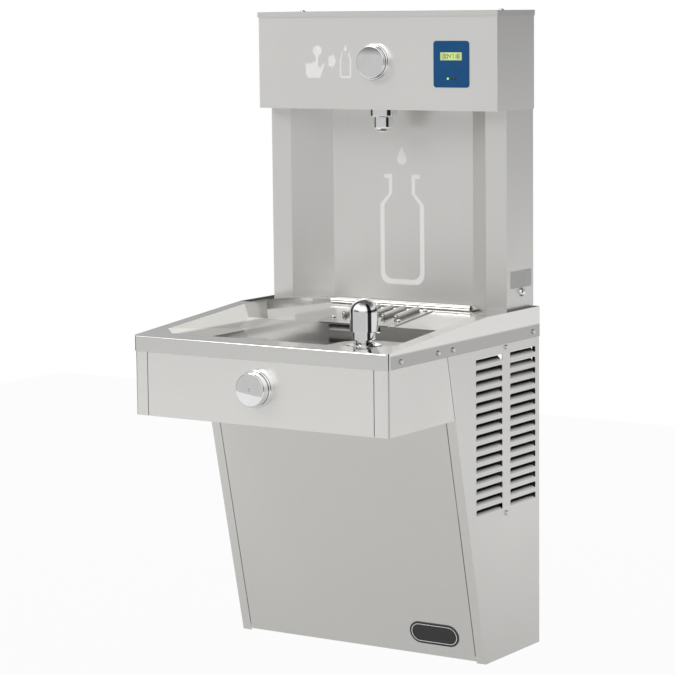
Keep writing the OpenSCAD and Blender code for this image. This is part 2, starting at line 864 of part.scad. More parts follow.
// Back of the alcove with a slanted cheek on each side, folded from one sheet
module alcove_liner() {
    half = alcove_w / 2;
    color(steel) at_mount() up_z(ledge_z, column_top_z) polygon([
        [-column_in, -tower_d], [-half, -alcove_d], [half, -alcove_d], [column_in, -tower_d],
        [column_in, -tower_d + sheet_t + sheet_t], [half + cheek_slip, -alcove_d + sheet_t],
        [-half - cheek_slip, -alcove_d + sheet_t], [-column_in, -tower_d + sheet_t + sheet_t]]);
}

bottle_w = 82;
bottle_low = 26;
bottle_h = 175.5;
bottle_line = 8;
bottle_neck_share = 0.595;
bottle_lip_w = 58.4;
bottle_lip_h = 6.5;
drop_r = 9;
drop_low = 217;
drop_h = 30;

// Solid shape of a bottle: round lower corners, straight sides, shoulders and neck
module bottle_shape(half, neck, low, h, top) {
    r = half * 0.42;
    translate([-half + r, low]) square([half + half - r - r, r + r]);
    for (side = [-1, 1])
        translate([side * (half - r), low + r]) circle(r);
    polygon([
        [-half, low + r], [half, low + r], [half, h * 0.724], [neck, h * 0.826], [neck, top],
        [-neck, top], [-neck, h * 0.826], [-half, h * 0.724]]);
}

// Outline in X and Z of a bottle that is open at the top
module bottle_outline(w, h, line, neck_share) {
    half = w / 2;
    difference() {
        bottle_shape(half, half * neck_share, 0, h, h);
        bottle_shape(half - line, half * neck_share - 0.8 * line, line, h, h + overrun);
    }
}

// Outline of a falling drop with its point up
module drop_outline(r, h) {
    circle(r);
    polygon([[-r * 0.94, r * 0.34], [0, h - r], [r * 0.94, r * 0.34]]);
}

// Bottle outline and drop let into the alcove's back
module alcove_inlay() {
    color(print_white) at_mount() translate([0, 0, ledge_z]) {
        across_y(alcove_d, alcove_d + inlay_t) translate([0, bottle_low]) {
            bottle_outline(bottle_w, bottle_h, bottle_line, bottle_neck_share);
            for (side = [-1, 1])
                translate([side * (bottle_w * bottle_neck_share + bottle_lip_w) / 4,
                           bottle_h - bottle_lip_h / 2])
                    square([bottle_lip_w / 2 - bottle_w * bottle_neck_share / 2 + bottle_line,
                            bottle_lip_h], center = true);
        }
        across_y(alcove_d, alcove_d + inlay_t)
            translate([0, drop_low + drop_r]) drop_outline(drop_r, drop_h);
    }
}

head_half = tower_half + sheet_t + sheet_t;
head_inner = head_half - sheet_t;
nozzle_hole_r = 10.5;
filler_z = head_z + filler_up;

// Front, sides and underside of the head
module head_cover() {
    color(steel) at_mount() difference() {
        union() {
            slab([-head_half, -head_d, head_z], [head_half, -head_d + sheet_t, head_top_z]);
            both_sides()
                slab([head_inner, -head_d, head_z], [head_half, 0, head_top_z]);
            slab([-head_half, -head_d, head_z],
                 [head_half, -sheet_t - seat_gap, head_z + sheet_t]);
        }
        facing_front(0, head_d - sheet_t, filler_z) sheet_hole(sleeve_r + screw_gap);
        translate([0, -nozzle_d, head_z]) sheet_hole(nozzle_hole_r);
        translate([-pipe_hole_x, -pipe_hole_d, head_z]) sheet_hole(pipe_hole_r);
    }
}

lid_gap = 0.6;
lid_half = head_half + sheet_t + lid_gap;
lid_d = head_d + sheet_t + lid_gap;
lid_screw_x = 184;
lid_screw_d = 40;
lid_screw_r = 4.5;
lid_screw_h = 2.2;
lid_screw_len = 4;

// Lid with a lip that laps over the head cover
module head_lid() {
    color(steel) at_mount() difference() {
        slab([-lid_half, -lid_d, lid_z - lid_lip], [lid_half, 0, lid_z + sheet_t]);
        slab([-lid_half + sheet_t, -lid_d + sheet_t, lid_z - lid_lip - overrun],
             [lid_half - sheet_t, overrun, lid_z]);
        for (side = [-1, 1])
            translate([side * lid_screw_x, -lid_screw_d, lid_z]) sheet_hole(screw_hole_r);
    }
}

// Domed screws in the lid
module lid_screws() {
    color(chrome) at_mount() for (side = [-1, 1])
        translate([side * lid_screw_x, -lid_screw_d, lid_z + sheet_t]) {
            soft_disc(lid_screw_r, lid_screw_h, lid_screw_h - seat_gap);
            translate([0, 0, -lid_screw_len]) cylinder(h = lid_screw_len + seat_gap, r = screw_r);
        }
}

icon_t = 0.3;
hand_x = -129.2;
sign_up = 48.5;
hand_h = 50.3;
hand_w = 35.4;
hand_shares = [
    [0, 0.11], [0.12, 0], [0.77, 0], [0.97, 0.35], [1, 0.43], [0.93, 0.45], [0.805, 0.33],
    [0.68, 0.33], [0.68, 0.75], [0.53, 0.75], [0.53, 0.51], [0.37, 0.51], [0.34, 0.45],
    [0, 0.45]];
arrow_x = -78.8;
arrow_up = 75;
arrow_w = 14.4;
arrow_h = 28;
icon_bottle_x = -54.2;
icon_bottle_h = 40.4;
icon_bottle_w = 21.4;
icon_line = 2.8;
icon_neck_share = 0.72;
icon_drop_r = 3.3;
icon_drop_h = 10.2;
icon_drop_gap = 1.2;

// Hand whose raised finger presses a round button
module hand_icon() {
    polygon([for (share = hand_shares) [share[0] * hand_w, share[1] * hand_h]]);
    translate([hand_w * 0.627, hand_h * 0.845]) circle(hand_w * 0.237);
}

// Arrow that points from the hand to the bottle
module arrow_icon() {
    polygon([
        [-arrow_w / 2, -0.29 * arrow_h], [0, -0.29 * arrow_h], [0, -arrow_h / 2],
        [arrow_w / 2, 0], [0, arrow_h / 2], [0, 0.29 * arrow_h],
        [-arrow_w / 2, 0.29 * arrow_h]]);
}

// Small bottle with a drop over it
module small_bottle_icon() {
    bottle_outline(icon_bottle_w, icon_bottle_h, icon_line, icon_neck_share);
    translate([0, icon_bottle_h + icon_drop_gap + icon_drop_r])
        drop_outline(icon_drop_r, icon_drop_h);
}

// Plain signs beside the filler button
module head_pictograms() {
    color(print_white) at_mount() across_y(head_d, head_d + icon_t) {
        translate([hand_x, head_z + sign_up]) hand_icon();
        translate([arrow_x, head_z + arrow_up]) arrow_icon();
        translate([icon_bottle_x, head_z + sign_up]) small_bottle_icon();
    }
}

lens_x = 138.5;
lens_up = 71;
lens_w = 63;
lens_h = 71;
lens_t = 1;
lens_r = 5;
window_up = 83;
window_w = 38;
window_h = 12;
window_t = 0.4;
lamp_xs = [132.8, 139.3, 145.8];
lamp_up = 49;
lamp_r = 1.7;
lamp_h = 1;

// Blue display panel
module display_lens() {
    color(panel_blue) at_mount() across_y(head_d, head_d + lens_t)
        translate([lens_x, head_z + lens_up]) soft_square(lens_w, lens_h, lens_r);
}

// Window for the bottle counter
module display_window() {
    color(window_green) at_mount() across_y(head_d + lens_t, head_d + lens_t + window_t)
        translate([lens_x, head_z + window_up]) square([window_w, window_h], center = true);
}

// Three filter lamps
module status_lamps() {
    color("limegreen") at_mount() for (x = lamp_xs)
        facing_front(x, head_d + lens_t, head_z + lamp_up)
            soft_disc(lamp_r, lamp_h, lamp_h / 2);
}

board_t = 1.6;
board_gap = 5;
board_w = 76;
board_h = 84;
post_r = 3;

// Circuit board on four posts behind the display
module display_board() {
    color(board_green) at_mount() {
        across_y(head_d - sheet_t - board_gap - board_t, head_d - sheet_t - board_gap)
            translate([lens_x, head_z + lens_up]) square([board_w, board_h], center = true);
        for (sx = [-1, 1], sz = [-1, 1])
            facing_front(lens_x + sx * (board_w / 2 - post_r - post_r),
                         head_d - sheet_t - board_gap,
                         head_z + lens_up + sz * (board_h / 2 - post_r - post_r))
                cylinder(h = board_gap, r = post_r);
    }
}

column_plate_d = 39.5;
column_plate_up = 46;
column_plate_w = 65;
column_plate_h = 27;
column_plate_t = 0.5;

// Bare plate on the tower's right side
module column_plate() {
    color(print_white) at_mount() across_x(tower_half, tower_half + column_plate_t)
        translate([-column_plate_d, ledge_z + column_plate_up])
            soft_square(column_plate_w, column_plate_h, lens_r / 2);
}

lock_proud = 5;
lock_len = 12;

// Domed key lock below the plate
module column_lock() {
    color(chrome) at_mount() facing_right(tower_half, lock_d, lock_z) {
        soft_disc(lock_r, lock_proud, lock_proud - seat_gap);
        translate([0, 0, -lock_len]) cylinder(h = lock_len + seat_gap, r = lock_shank_r);
    }
}

// Filler nozzle, valve and button

nozzle_nut_r = 21.7;
nozzle_nut_h = 12;
nozzle_r = 15.5;
nozzle_tip_r = 9;
nozzle_bore_r = 6;
nozzle_shank_r = 9.5;
nozzle_shank_h = 24;

// Round chrome nut under the head
module nozzle_nut() {
    color(chrome) at_mount()
        translate([0, -nozzle_d, head_z]) mirror([0, 0, 1])
            soft_ring(nozzle_nut_r, nozzle_shank_r + screw_gap, nozzle_nut_h, edge_r);
}

// Spout that hangs from the nut, with its shank through the head's underside
module nozzle_spout() {
    color(chrome) at_mount() translate([0, -nozzle_d, head_z]) difference() {
        union() {
            translate([0, 0, -nozzle_nut_h]) mirror([0, 0, 1])
                soft_disc(nozzle_r, nozzle_len - nozzle_nut_h, nozzle_tip_r);
            translate([0, 0, -nozzle_nut_h - seat_gap])
                cylinder(h = nozzle_shank_h + nozzle_nut_h + seat_gap, r = nozzle_shank_r);
        }
        translate([0, 0, -nozzle_len - overrun])
            cylinder(h = nozzle_len + nozzle_shank_h - overrun, r = nozzle_bore_r);
    }
}

valve_x = -85;
valve_d = 52;
valve_low = 19;
valve_w = 50;
valve_depth = 34;
valve_h = 26;
coil_r = 16;
coil_h = 38;
hose_r = 3.2;
hose_swell = 0.6;
valve_foot_t = 4;
valve_mid_z = head_z + valve_low + valve_h / 2;

// Solenoid valve on its bracket, with the hose to the nozzle's shank
module filler_valve() {
    port = [valve_x + valve_w / 2, -valve_d, valve_mid_z];
    turn = [0, -valve_d, valve_mid_z];
    over = [0, -nozzle_d, valve_mid_z];
    color(white) at_mount() {
        slab([valve_x - valve_w / 2, -valve_d - valve_depth / 2, head_z + valve_low],
             [valve_x + valve_w / 2, -valve_d + valve_depth / 2, head_z + valve_low + valve_h]);
        translate([valve_x, -valve_d, head_z + valve_low + valve_h - seat_gap])
            cylinder(h = coil_h, r = coil_r);
        slab([valve_x - coil_r, -valve_d, head_z + valve_low],
             [valve_x + coil_r, -sheet_t, head_z + valve_low + valve_foot_t]);
        pipe_run([port - [hose_r, 0, 0], turn, over,
                  [0, -nozzle_d, head_z + nozzle_shank_h]], hose_r, hose_swell);
    }
}

bezel_proud = 8;
cap_gap = 0.5;
bezel_bore_r = cap_dia / 2 + cap_gap;
web_t = 2;
sleeve_len = 18;
stem_r = 6;
stem_len = 26;
cap_low = 7;
cap_edge = 2;
stem_collar_r = 9.5;
stem_collar_h = 3;
switch_r = 15;
switch_bore_r = 11;
switch_len = 34 + button_travel;
switch_wall = 3;
spring_r = 8;
spring_wire_r = 0.7;
spring_turns = 8;
spring_seat = 0.3;
collar_z = -web_t - spring_seat - stem_collar_h;

// Chrome ring, inner web and sleeve of a push button; its own Z points out of the sheet
module button_bezel() {
    difference() {
        union() {
            soft_disc(bezel_r, bezel_proud, edge_r);
            translate([0, 0, -sleeve_len]) cylinder(h = sleeve_len + seat_gap, r = sleeve_r);
        }
        translate([0, 0, web_t]) cylinder(h = bezel_proud, r = bezel_bore_r);
        translate([0, 0, -sleeve_len - overrun])
            cylinder(h = sleeve_len + bezel_proud + overrun, r = stem_r + run_gap);
        translate([0, 0, -sleeve_len - overrun])
            cylinder(h = sleeve_len - web_t + overrun, r = switch_r + screw_gap);
    }
}

// Cap, stem and collar of a push button
module button_cap(proud) {
    translate([0, 0, cap_low]) soft_disc(cap_dia / 2, proud - cap_low, cap_edge);
    translate([0, 0, cap_low - stem_len]) cylinder(h = stem_len + seat_gap, r = stem_r);
    translate([0, 0, collar_z]) cylinder(h = stem_collar_h, r = stem_collar_r);
}

// Cup behind the sleeve that holds the spring
module button_switch() {
    top = -web_t - spring_seat;
    difference() {
        translate([0, 0, top - switch_len]) cylinder(h = switch_len, r = switch_r);
        translate([0, 0, top - switch_len + switch_wall])
            cylinder(h = switch_len, r = switch_bore_r);
    }
}

// Spring between the cup's floor and the collar
module button_spring() {
    low = -web_t - spring_seat - switch_len + switch_wall + seat_gap;
    translate([0, 0, low])
        coil_spring(spring_r, spring_wire_r, spring_turns, collar_z - low - seat_gap);
}

pip_r = 2.2;

module filler_bezel() {
    color(chrome) at_mount() facing_front(0, head_d, filler_z) button_bezel();
}

module filler_cap() {
    color(chrome) at_mount() facing_front(0, head_d, filler_z) button_cap(cap_proud);
}

module filler_switch() {
    color(black) at_mount() facing_front(0, head_d, filler_z) button_switch();
}

module filler_spring() {
    color(zinc) at_mount() facing_front(0, head_d, filler_z) button_spring();
}

module bubbler_bezel() {
    color(chrome) at_mount()
        facing_front(0, apron_d, apron_cap_z) button_bezel();
}

module bubbler_cap() {
    color(chrome) at_mount() facing_front(0, apron_d, apron_cap_z) difference() {
        button_cap(apron_cap_proud);
        translate([0, 0, apron_cap_proud - cap_edge]) cylinder(h = overrun, r = pip_r);
    }
}

module bubbler_spring() {
    color(zinc) at_mount() facing_front(0, apron_d, apron_cap_z) button_spring();
}

regulator_r = 19;
regulator_h = 24;
port_len = 8;
port_r = 6;
regulator_d = apron_d - web_t - spring_seat - switch_len - regulator_h / 2;

// Bubbler valve: spring cup, regulator body and two side ports
module bubbler_valve() {
    color(white) at_mount() {
        facing_front(0, apron_d, apron_cap_z) button_switch();
        facing_front(0, regulator_d - regulator_h / 2, apron_cap_z)
            cylinder(h = regulator_h + seat_gap, r = regulator_r);
        facing_right(-regulator_r - port_len, regulator_d, apron_cap_z)
            cylinder(h = regulator_r + regulator_r + port_len + port_len, r = port_r);
    }
}

// Water

inlet_r = 4.7625;
inlet_low_z = 5;
inlet_stub = 35;
inlet_body_r = 10;
inlet_body_h = 22;

// Inlet fitting whose plain tube end takes the supply
module inlet_fitting() {
    color("goldenrod") at_mount() translate([inlet_x, -inlet_d, inlet_low_z]) {
        difference() {
            union() {
                cylinder(h = inlet_stub + seat_gap, r = inlet_r);
                translate([0, 0, inlet_stub]) cylinder(h = inlet_body_h, r = inlet_body_r);
            }
            translate([0, 0, -overrun])
                cylinder(h = inlet_stub + overrun, r = inlet_r - sheet_t);
        }
    }
}

filter_x = 10;
filter_d = 122;
filter_half = 22;
filter_head_h = 45;
neck_r = 16;
neck_h = 14;
cartridge_low_z = 49;
cartridge_h = 240;
cartridge_gap = 1;
filter_low_z = cartridge_low_z + cartridge_h + cartridge_gap;
filter_port_z = filter_low_z + filter_head_h / 2;
filter_port_len = 8;
filter_arm_half = 12;

// Filter head on its arm from the back panel, with a socket for the cartridge's neck
module filter_head() {
    color(white) at_mount() difference() {
        union() {
            slab([filter_x - filter_half, -filter_d - filter_half, filter_low_z],
                 [filter_x + filter_half, -filter_d + filter_half,
                  filter_low_z + filter_head_h]);
            slab([filter_x - filter_arm_half, -filter_d, filter_low_z],
                 [filter_x + filter_arm_half, -back_d - sheet_t - seat_gap,
                  filter_low_z + filter_head_h]);
            facing_right(filter_x - filter_half - filter_port_len, filter_d, filter_port_z)
                cylinder(h = filter_half + filter_half
                         + filter_port_len + filter_port_len, r = port_r);
        }
        translate([filter_x, -filter_d, filter_low_z - overrun])
            cylinder(h = neck_h + overrun + cartridge_gap, r = neck_r + run_gap);
    }
}

// Cartridge that turns a quarter to lock in the head
module filter_cartridge() {
    top = cartridge_low_z + cartridge_h;
    r = cartridge_dia / 2;
    color(white) at_mount() translate([filter_x, -filter_d, 0]) {
        translate([0, 0, cartridge_low_z]) {
            soft_disc(r, cartridge_h, r / 3);
            cylinder(h = neck_h, r = r * 0.9);
        }
        translate([0, 0, top - seat_gap]) cylinder(h = neck_h + seat_gap, r = neck_r);
        for (turn = [0, 180]) rotate([0, 0, turn])
            translate([r * 0.8, 0, top - cartridge_h / 3]) cylinder(h = cartridge_h / 12, r = r / 4);
    }
}

tank_x = -117;
tank_d = 122;
tank_z = 262;
tank_h = 150;
fitting_r = 6;
fitting_h = 26;
water_in = [30, 0];
water_out = [-30, 0];
suction_out = [0, 27];
capillary_in = [0, -28];
tank_fittings = [water_in, water_out, suction_out, capillary_in];

// Cold water tank with four fittings on top
module cooling_tank() {
    color(zinc) at_mount() translate([tank_x, -tank_d, tank_z]) {
        cylinder(h = tank_h, r = tank_dia / 2);
        for (p = tank_fittings)
            translate([p[0], p[1], tank_h - seat_gap]) cylinder(h = fitting_h + seat_gap, r = fitting_r);
    }
}

jacket_half_x = 64;
jacket_half_y = 65;
jacket_floor = 12;
jacket_over = 8;
jacket_lid_t = 12;
jacket_gap = 0.4;
shelf_gusset = 26;
jacket_top_z = tank_z + tank_h + jacket_over;

// Foam jacket round the tank, on a shelf from the back panel
module tank_insulation() {
    color(foam_grey) at_mount() difference() {
        union() {
            slab([tank_x - jacket_half_x, -tank_d - jacket_half_y, tank_z - jacket_floor],
                 [tank_x + jacket_half_x, -tank_d + jacket_half_y, jacket_top_z]);
            slab([tank_x - jacket_half_x / 2, -tank_d, tank_z - jacket_floor],
                 [tank_x + jacket_half_x / 2, -back_d - sheet_t - seat_gap,
                  tank_z - jacket_floor + shelf_gusset]);
        }
        translate([tank_x, -tank_d, tank_z])
            cylinder(h = tank_h + jacket_over + overrun, r = tank_dia / 2 + jacket_gap);
    }
}

// Foam lid with a hole for each fitting
module insulation_lid() {
    color(foam_grey) at_mount() difference() {
        slab([tank_x - jacket_half_x, -tank_d - jacket_half_y, jacket_top_z],
             [tank_x + jacket_half_x, -tank_d + jacket_half_y, jacket_top_z + jacket_lid_t]);
        for (p = tank_fittings)
            translate([tank_x + p[0], -tank_d + p[1], jacket_top_z - overrun])
                cylinder(h = jacket_lid_t + overrun + overrun, r = fitting_r + screw_gap);
    }
}

line_z = 470;
cross_z = 452;
outlet_x = -32;
valve_hose_d = pipe_hole_d;

// Hoses from the inlet through the filter and the tank to the bubbler and the tower
module water_lines() {
    fit_z = tank_z + tank_h + fitting_h;
    left_port = filter_x - filter_half - filter_port_len;
    right_port = filter_x + filter_half + filter_port_len;
    cold = [tank_x + water_out[0], -tank_d, fit_z];
    cold_up = [cold[0], cold[1], line_z];
    bubbler_low = [bubbler_x, -bubbler_d, pad_z - shank_len];
    color("lightskyblue") at_mount() {
        pipe_run([
            [inlet_x, -inlet_d, inlet_low_z + inlet_stub + inlet_body_h],
            [inlet_x, -inlet_d, filter_port_z], [inlet_x, -filter_d, filter_port_z],
            [right_port, -filter_d, filter_port_z]], hose_r, hose_swell);
        pipe_run([
            [left_port, -filter_d, filter_port_z], [outlet_x, -filter_d, filter_port_z],
            [outlet_x, -filter_d, cross_z], [tank_x + water_in[0], -tank_d, cross_z],
            [tank_x + water_in[0], -tank_d, fit_z]], hose_r, hose_swell);
        pipe_run([
            cold, cold_up, [-pipe_hole_x, -valve_hose_d, line_z],
            [-pipe_hole_x, -valve_hose_d, valve_mid_z], [-pipe_hole_x, -valve_d, valve_mid_z],
            [valve_x - valve_w / 2, -valve_d, valve_mid_z]], hose_r, hose_swell);
        pipe_run([
            cold_up, [cold[0], -regulator_d, line_z],
            [cold[0], -regulator_d, apron_cap_z],
            [-regulator_r - port_len, -regulator_d, apron_cap_z]], hose_r, hose_swell);
        pipe_run([
            [regulator_r + port_len, -regulator_d, apron_cap_z],
            [bubbler_x, -regulator_d, apron_cap_z],
            [bubbler_x, -bubbler_d, apron_cap_z], bubbler_low], hose_r, hose_swell);
    }
}

// Cooling

compressor_x = tank_x;
compressor_d = 95;
grommet_h = 14;
grommet_r = 9;
grommet_half_x = 55;
grommet_half_y = 42;
feet_t = 2.5;
compressor_h = 145;
seam_r = 2.5;
stub_r = 5;
stub_len = 12;
stub_up = 72;
suction_up = 40;
terminal_w = 34;
compressor_z = pan_z + sheet_t + grommet_h;

// Hermetic compressor: foot plate, domed shell with its welded seam, ports, terminal box
module compressor() {
    r = compressor_dia / 2;
    color(black) at_mount() translate([compressor_x, -compressor_d, compressor_z]) {
        slab([-grommet_half_x - grommet_r, -grommet_half_y - grommet_r, 0],
             [grommet_half_x + grommet_r, grommet_half_y + grommet_r, feet_t]);
        translate([0, 0, feet_t]) soft_disc(r, compressor_h, r * 0.55);
        translate([0, 0, compressor_h * 0.45]) cylinder(h = seam_r + seam_r, r = r + seam_r);
        facing_right(0, 0, stub_up) cylinder(h = r + stub_len, r = stub_r);
        facing_front(0, 0, suction_up) cylinder(h = r + stub_len, r = stub_r);
        slab([-terminal_w / 2, -r - terminal_w / 5, stub_up], [terminal_w / 2, 0,
             stub_up + terminal_w]);
    }
}

// Rubber grommets under the compressor's feet
module compressor_grommets() {
    color(rubber) at_mount() for (sx = [-1, 1], sy = [-1, 1])
        translate([compressor_x + sx * grommet_half_x, -compressor_d + sy * grommet_half_y,
                   pan_z + sheet_t])
            cylinder(h = grommet_h, r = grommet_r);
}

condenser_x = panel_in - 38.6;
condenser_t = 26;
fins_near_d = 40;
fins_far_d = 200;
condenser_z = 240;
condenser_h = 200;
fin_count = 24;
fin_t = 0.8;
row_count = 6;
row_r = 4;
end_t = 2;
liquid_d = 150;
vapour_d = 74;
port_drop = 6;
coil_x = condenser_x + condenser_t / 2;

// Finned condenser beside the louvres
module condenser() {
    fin_pitch = (fins_far_d - fins_near_d - fin_t) / (fin_count - 1);
    row_pitch = condenser_h / row_count;
    color(zinc) at_mount() {
        for (i = [0 : fin_count - 1])
            slab([condenser_x, -fins_near_d - fin_t - i * fin_pitch, condenser_z],
                 [condenser_x + condenser_t, -fins_near_d - i * fin_pitch,
                  condenser_z + condenser_h]);
        for (i = [0 : row_count - 1])
            facing_front(coil_x, fins_near_d - row_r,
                         condenser_z + (i + 1 / 2) * row_pitch)
                cylinder(h = fins_far_d - fins_near_d + row_r + row_r, r = row_r);
        for (z = [condenser_z, condenser_z + condenser_h - end_t])
            slab([condenser_x, -fins_far_d, z],
                 [condenser_x + condenser_t, -fins_near_d, z + end_t]);
        for (d = [liquid_d, vapour_d])
            translate([coil_x, -d, condenser_z - port_drop])
                cylinder(h = port_drop + seat_gap, r = row_r);
    }
}

shroud_x = condenser_x - 51;
shroud_wall_x = condenser_x - 28;
shroud_t = 2;
fan_gap = 4;
ring_t = 4;
fan_d = (fins_near_d + fins_far_d) / 2;
fan_z = condenser_z + condenser_h / 2;
hub_plate_r = 36;
hub_plate_t = 3;
strut_half = 5;
strut_count = 3;
fan_x = shroud_x + 6;
fan_hub_len = 15;
fan_hub_r = 20;
shaft_r = 2.5;
shaft_back = 30;
motor_r = 34;
motor_len = 42;
motor_hole_r = 6;
blade_count = 5;
blade_t = 1.6;
blade_pitch = 28;
shroud_leg = 12;

// Shroud from the condenser to the fan ring, with struts that carry the motor
module fan_shroud() {
    ring_r = fan_dia / 2 + fan_gap;
    color(black) at_mount() {
        difference() {
            slab([shroud_wall_x, -fins_far_d, condenser_z],
                 [condenser_x - seat_gap, -fins_near_d, condenser_z + condenser_h]);
            slab([shroud_wall_x + shroud_t, -fins_far_d + shroud_t, condenser_z + shroud_t],
                 [condenser_x + overrun, -fins_near_d - shroud_t,
                  condenser_z + condenser_h - shroud_t]);
            facing_right(shroud_wall_x - overrun, fan_d, fan_z)
                cylinder(h = shroud_t + overrun + overrun, r = ring_r);
        }
        difference() {
            facing_right(shroud_x, fan_d, fan_z)
                cylinder(h = shroud_wall_x - shroud_x + seat_gap, r = ring_r + ring_t);
            facing_right(shroud_x - overrun, fan_d, fan_z)
                cylinder(h = shroud_wall_x - shroud_x + overrun + overrun, r = ring_r);
        }
        difference() {
            union() {
                facing_right(shroud_x, fan_d, fan_z) cylinder(h = hub_plate_t, r = hub_plate_r);
                for (i = [0 : strut_count - 1])
                    translate([shroud_x, -fan_d, fan_z]) rotate([360 * i / strut_count, 0, 0])
                        slab([0, -strut_half, 0], [hub_plate_t, strut_half, ring_r + ring_t / 2]);
            }
            facing_right(shroud_x - overrun, fan_d, fan_z)
                cylinder(h = hub_plate_t + overrun + overrun, r = motor_hole_r);
        }
        slab([shroud_wall_x, -fins_near_d - shroud_leg, condenser_z],
             [shroud_wall_x + shroud_t, -back_d - sheet_t - seat_gap, condenser_z + condenser_h]);
    }
}

// Fan motor on the shroud's hub plate, with its bearing bore
module fan_motor() {
    color(zinc) at_mount() difference() {
        facing_right(shroud_x - motor_len, fan_d, fan_z) cylinder(h = motor_len, r = motor_r);
        facing_right(shroud_x - shaft_back - 1.5 * shaft_r, fan_d, fan_z)
            cylinder(h = motor_len, r = shaft_r + run_gap);
    }
}

// Hub and pitched blades
module fan_blades() {
    color(rubber) at_mount() difference() {
        union() {
            facing_right(fan_x, fan_d, fan_z) cylinder(h = fan_hub_len, r = fan_hub_r);
            intersection() {
                facing_right(fan_x, fan_d, fan_z) cylinder(h = fan_hub_len, r = fan_dia / 2);
                for (i = [0 : blade_count - 1])
                    translate([fan_x + fan_hub_len / 2, -fan_d, fan_z])
                        rotate([360 * i / blade_count, 0, 0]) rotate([0, 0, blade_pitch])
                            translate([-blade_t / 2, -fan_hub_r, 0])
                                cube([blade_t, fan_hub_r + fan_hub_r, fan_dia]);
            }
        }
        facing_right(fan_x - overrun, fan_d, fan_z)
            cylinder(h = fan_hub_len, r = shaft_r + run_gap);
    }
}

// Shaft from the motor's bearing into the hub
module fan_shaft() {
    color(chrome) at_mount()
        facing_right(shroud_x - shaft_back, fan_d, fan_z)
            cylinder(h = shaft_back + fan_x - shroud_x + fan_hub_len - overrun - seat_gap,
                     r = shaft_r);
}

capillary_r = 1.6;
drier_r = 11;
drier_low_z = 120;
drier_high_z = 206;
floor_run_z = 24;
capillary_x = -38;
capillary_d = 150;
discharge_z = 112;
suction_d = 200;
suction_low_d = 172;
suction_z = 462;
suction_knee_z = 205;
discharge_turn_x = -44;

// Copper lines: discharge, liquid line with its drier, capillary and suction
module refrigerant_lines() {
    r = compressor_dia / 2;
    port_z = compressor_z + stub_up;
    right_stub = compressor_x + r + stub_len;
    fit_z = tank_z + tank_h + fitting_h;
    low_port = condenser_z - port_drop;
    color(copper) at_mount() {
        pipe_run([
            [right_stub, -compressor_d, port_z], [discharge_turn_x, -compressor_d, port_z],
            [discharge_turn_x, -vapour_d, port_z], [discharge_turn_x, -vapour_d, discharge_z],
            [coil_x, -vapour_d, discharge_z], [coil_x, -vapour_d, low_port]],
            hose_r, hose_swell);
        rod([coil_x, -liquid_d, low_port],
            [coil_x, -liquid_d, drier_high_z - seat_gap], hose_r);
        translate([coil_x, -liquid_d, drier_low_z])
            cylinder(h = drier_high_z - drier_low_z, r = drier_r);
        pipe_run([
            [coil_x, -liquid_d, drier_low_z + seat_gap],
            [coil_x, -liquid_d, floor_run_z], [capillary_x, -liquid_d, floor_run_z],
            [capillary_x, -capillary_d, cross_z],
            [tank_x + capillary_in[0], -tank_d + capillary_in[1], cross_z],
            [tank_x + capillary_in[0], -tank_d + capillary_in[1], fit_z]],
            capillary_r, hose_swell);
        pipe_run([
            [tank_x + suction_out[0], -tank_d + suction_out[1], fit_z],
            [tank_x + suction_out[0], -tank_d + suction_out[1], suction_z],
            [tank_x, -suction_d, suction_z], [tank_x, -suction_d, suction_knee_z],
            [compressor_x, -suction_low_d, suction_knee_z],
            [compressor_x, -suction_low_d, compressor_z + suction_up],
            [compressor_x, -compressor_d - r - stub_len, compressor_z + suction_up]],
            hose_r, hose_swell);
    }
}

box_x1 = panel_in - 40.6;
box_x0 = box_x1 - 86;
box_near_d = 60;
box_far_d = 132;
box_h = 78;
knob_x = (box_x0 + box_x1) / 2;
knob_z = 52;
knob_r = 12;
knob_t = 10;
knob_shaft_r = 3;
knob_shaft_len = 14;
gland_h = 16;
gland_bore_r = 4;

// Control box on the base pan, with the gland for the supply cord beside it
module control_box() {
    low = pan_z + sheet_t;
    color(zinc) at_mount() {
        difference() {
            slab([box_x0, -box_far_d, low], [box_x1, -box_near_d, low + box_h]);
            facing_front(knob_x, box_far_d - knob_shaft_len - overrun, knob_z)
                cylinder(h = knob_shaft_len + overrun + overrun, r = knob_shaft_r + run_gap);
        }
        difference() {
            translate([gland_x, -gland_d, low]) cylinder(h = gland_h, r = gland_r + edge_r);
            translate([gland_x, -gland_d, low - overrun])
                cylinder(h = gland_h + overrun + overrun, r = gland_bore_r);
        }
        slab([gland_x - edge_r, -box_near_d - edge_r, low],
             [gland_x + edge_r, -gland_d - gland_r, low + gland_h / 2]);
    }
}

// Knob that sets the water's temperature
module thermostat_knob() {
    color(black) at_mount() facing_front(knob_x, box_far_d + screw_gap, knob_z) {
        soft_disc(knob_r, knob_t, edge_r);
        translate([0, 0, -knob_shaft_len]) cylinder(h = knob_shaft_len + seat_gap, r = knob_shaft_r);
        slab([-edge_r / 2, 0, knob_t - seat_gap], [edge_r / 2, knob_r - edge_r, knob_t + edge_r / 3]);
    }
}

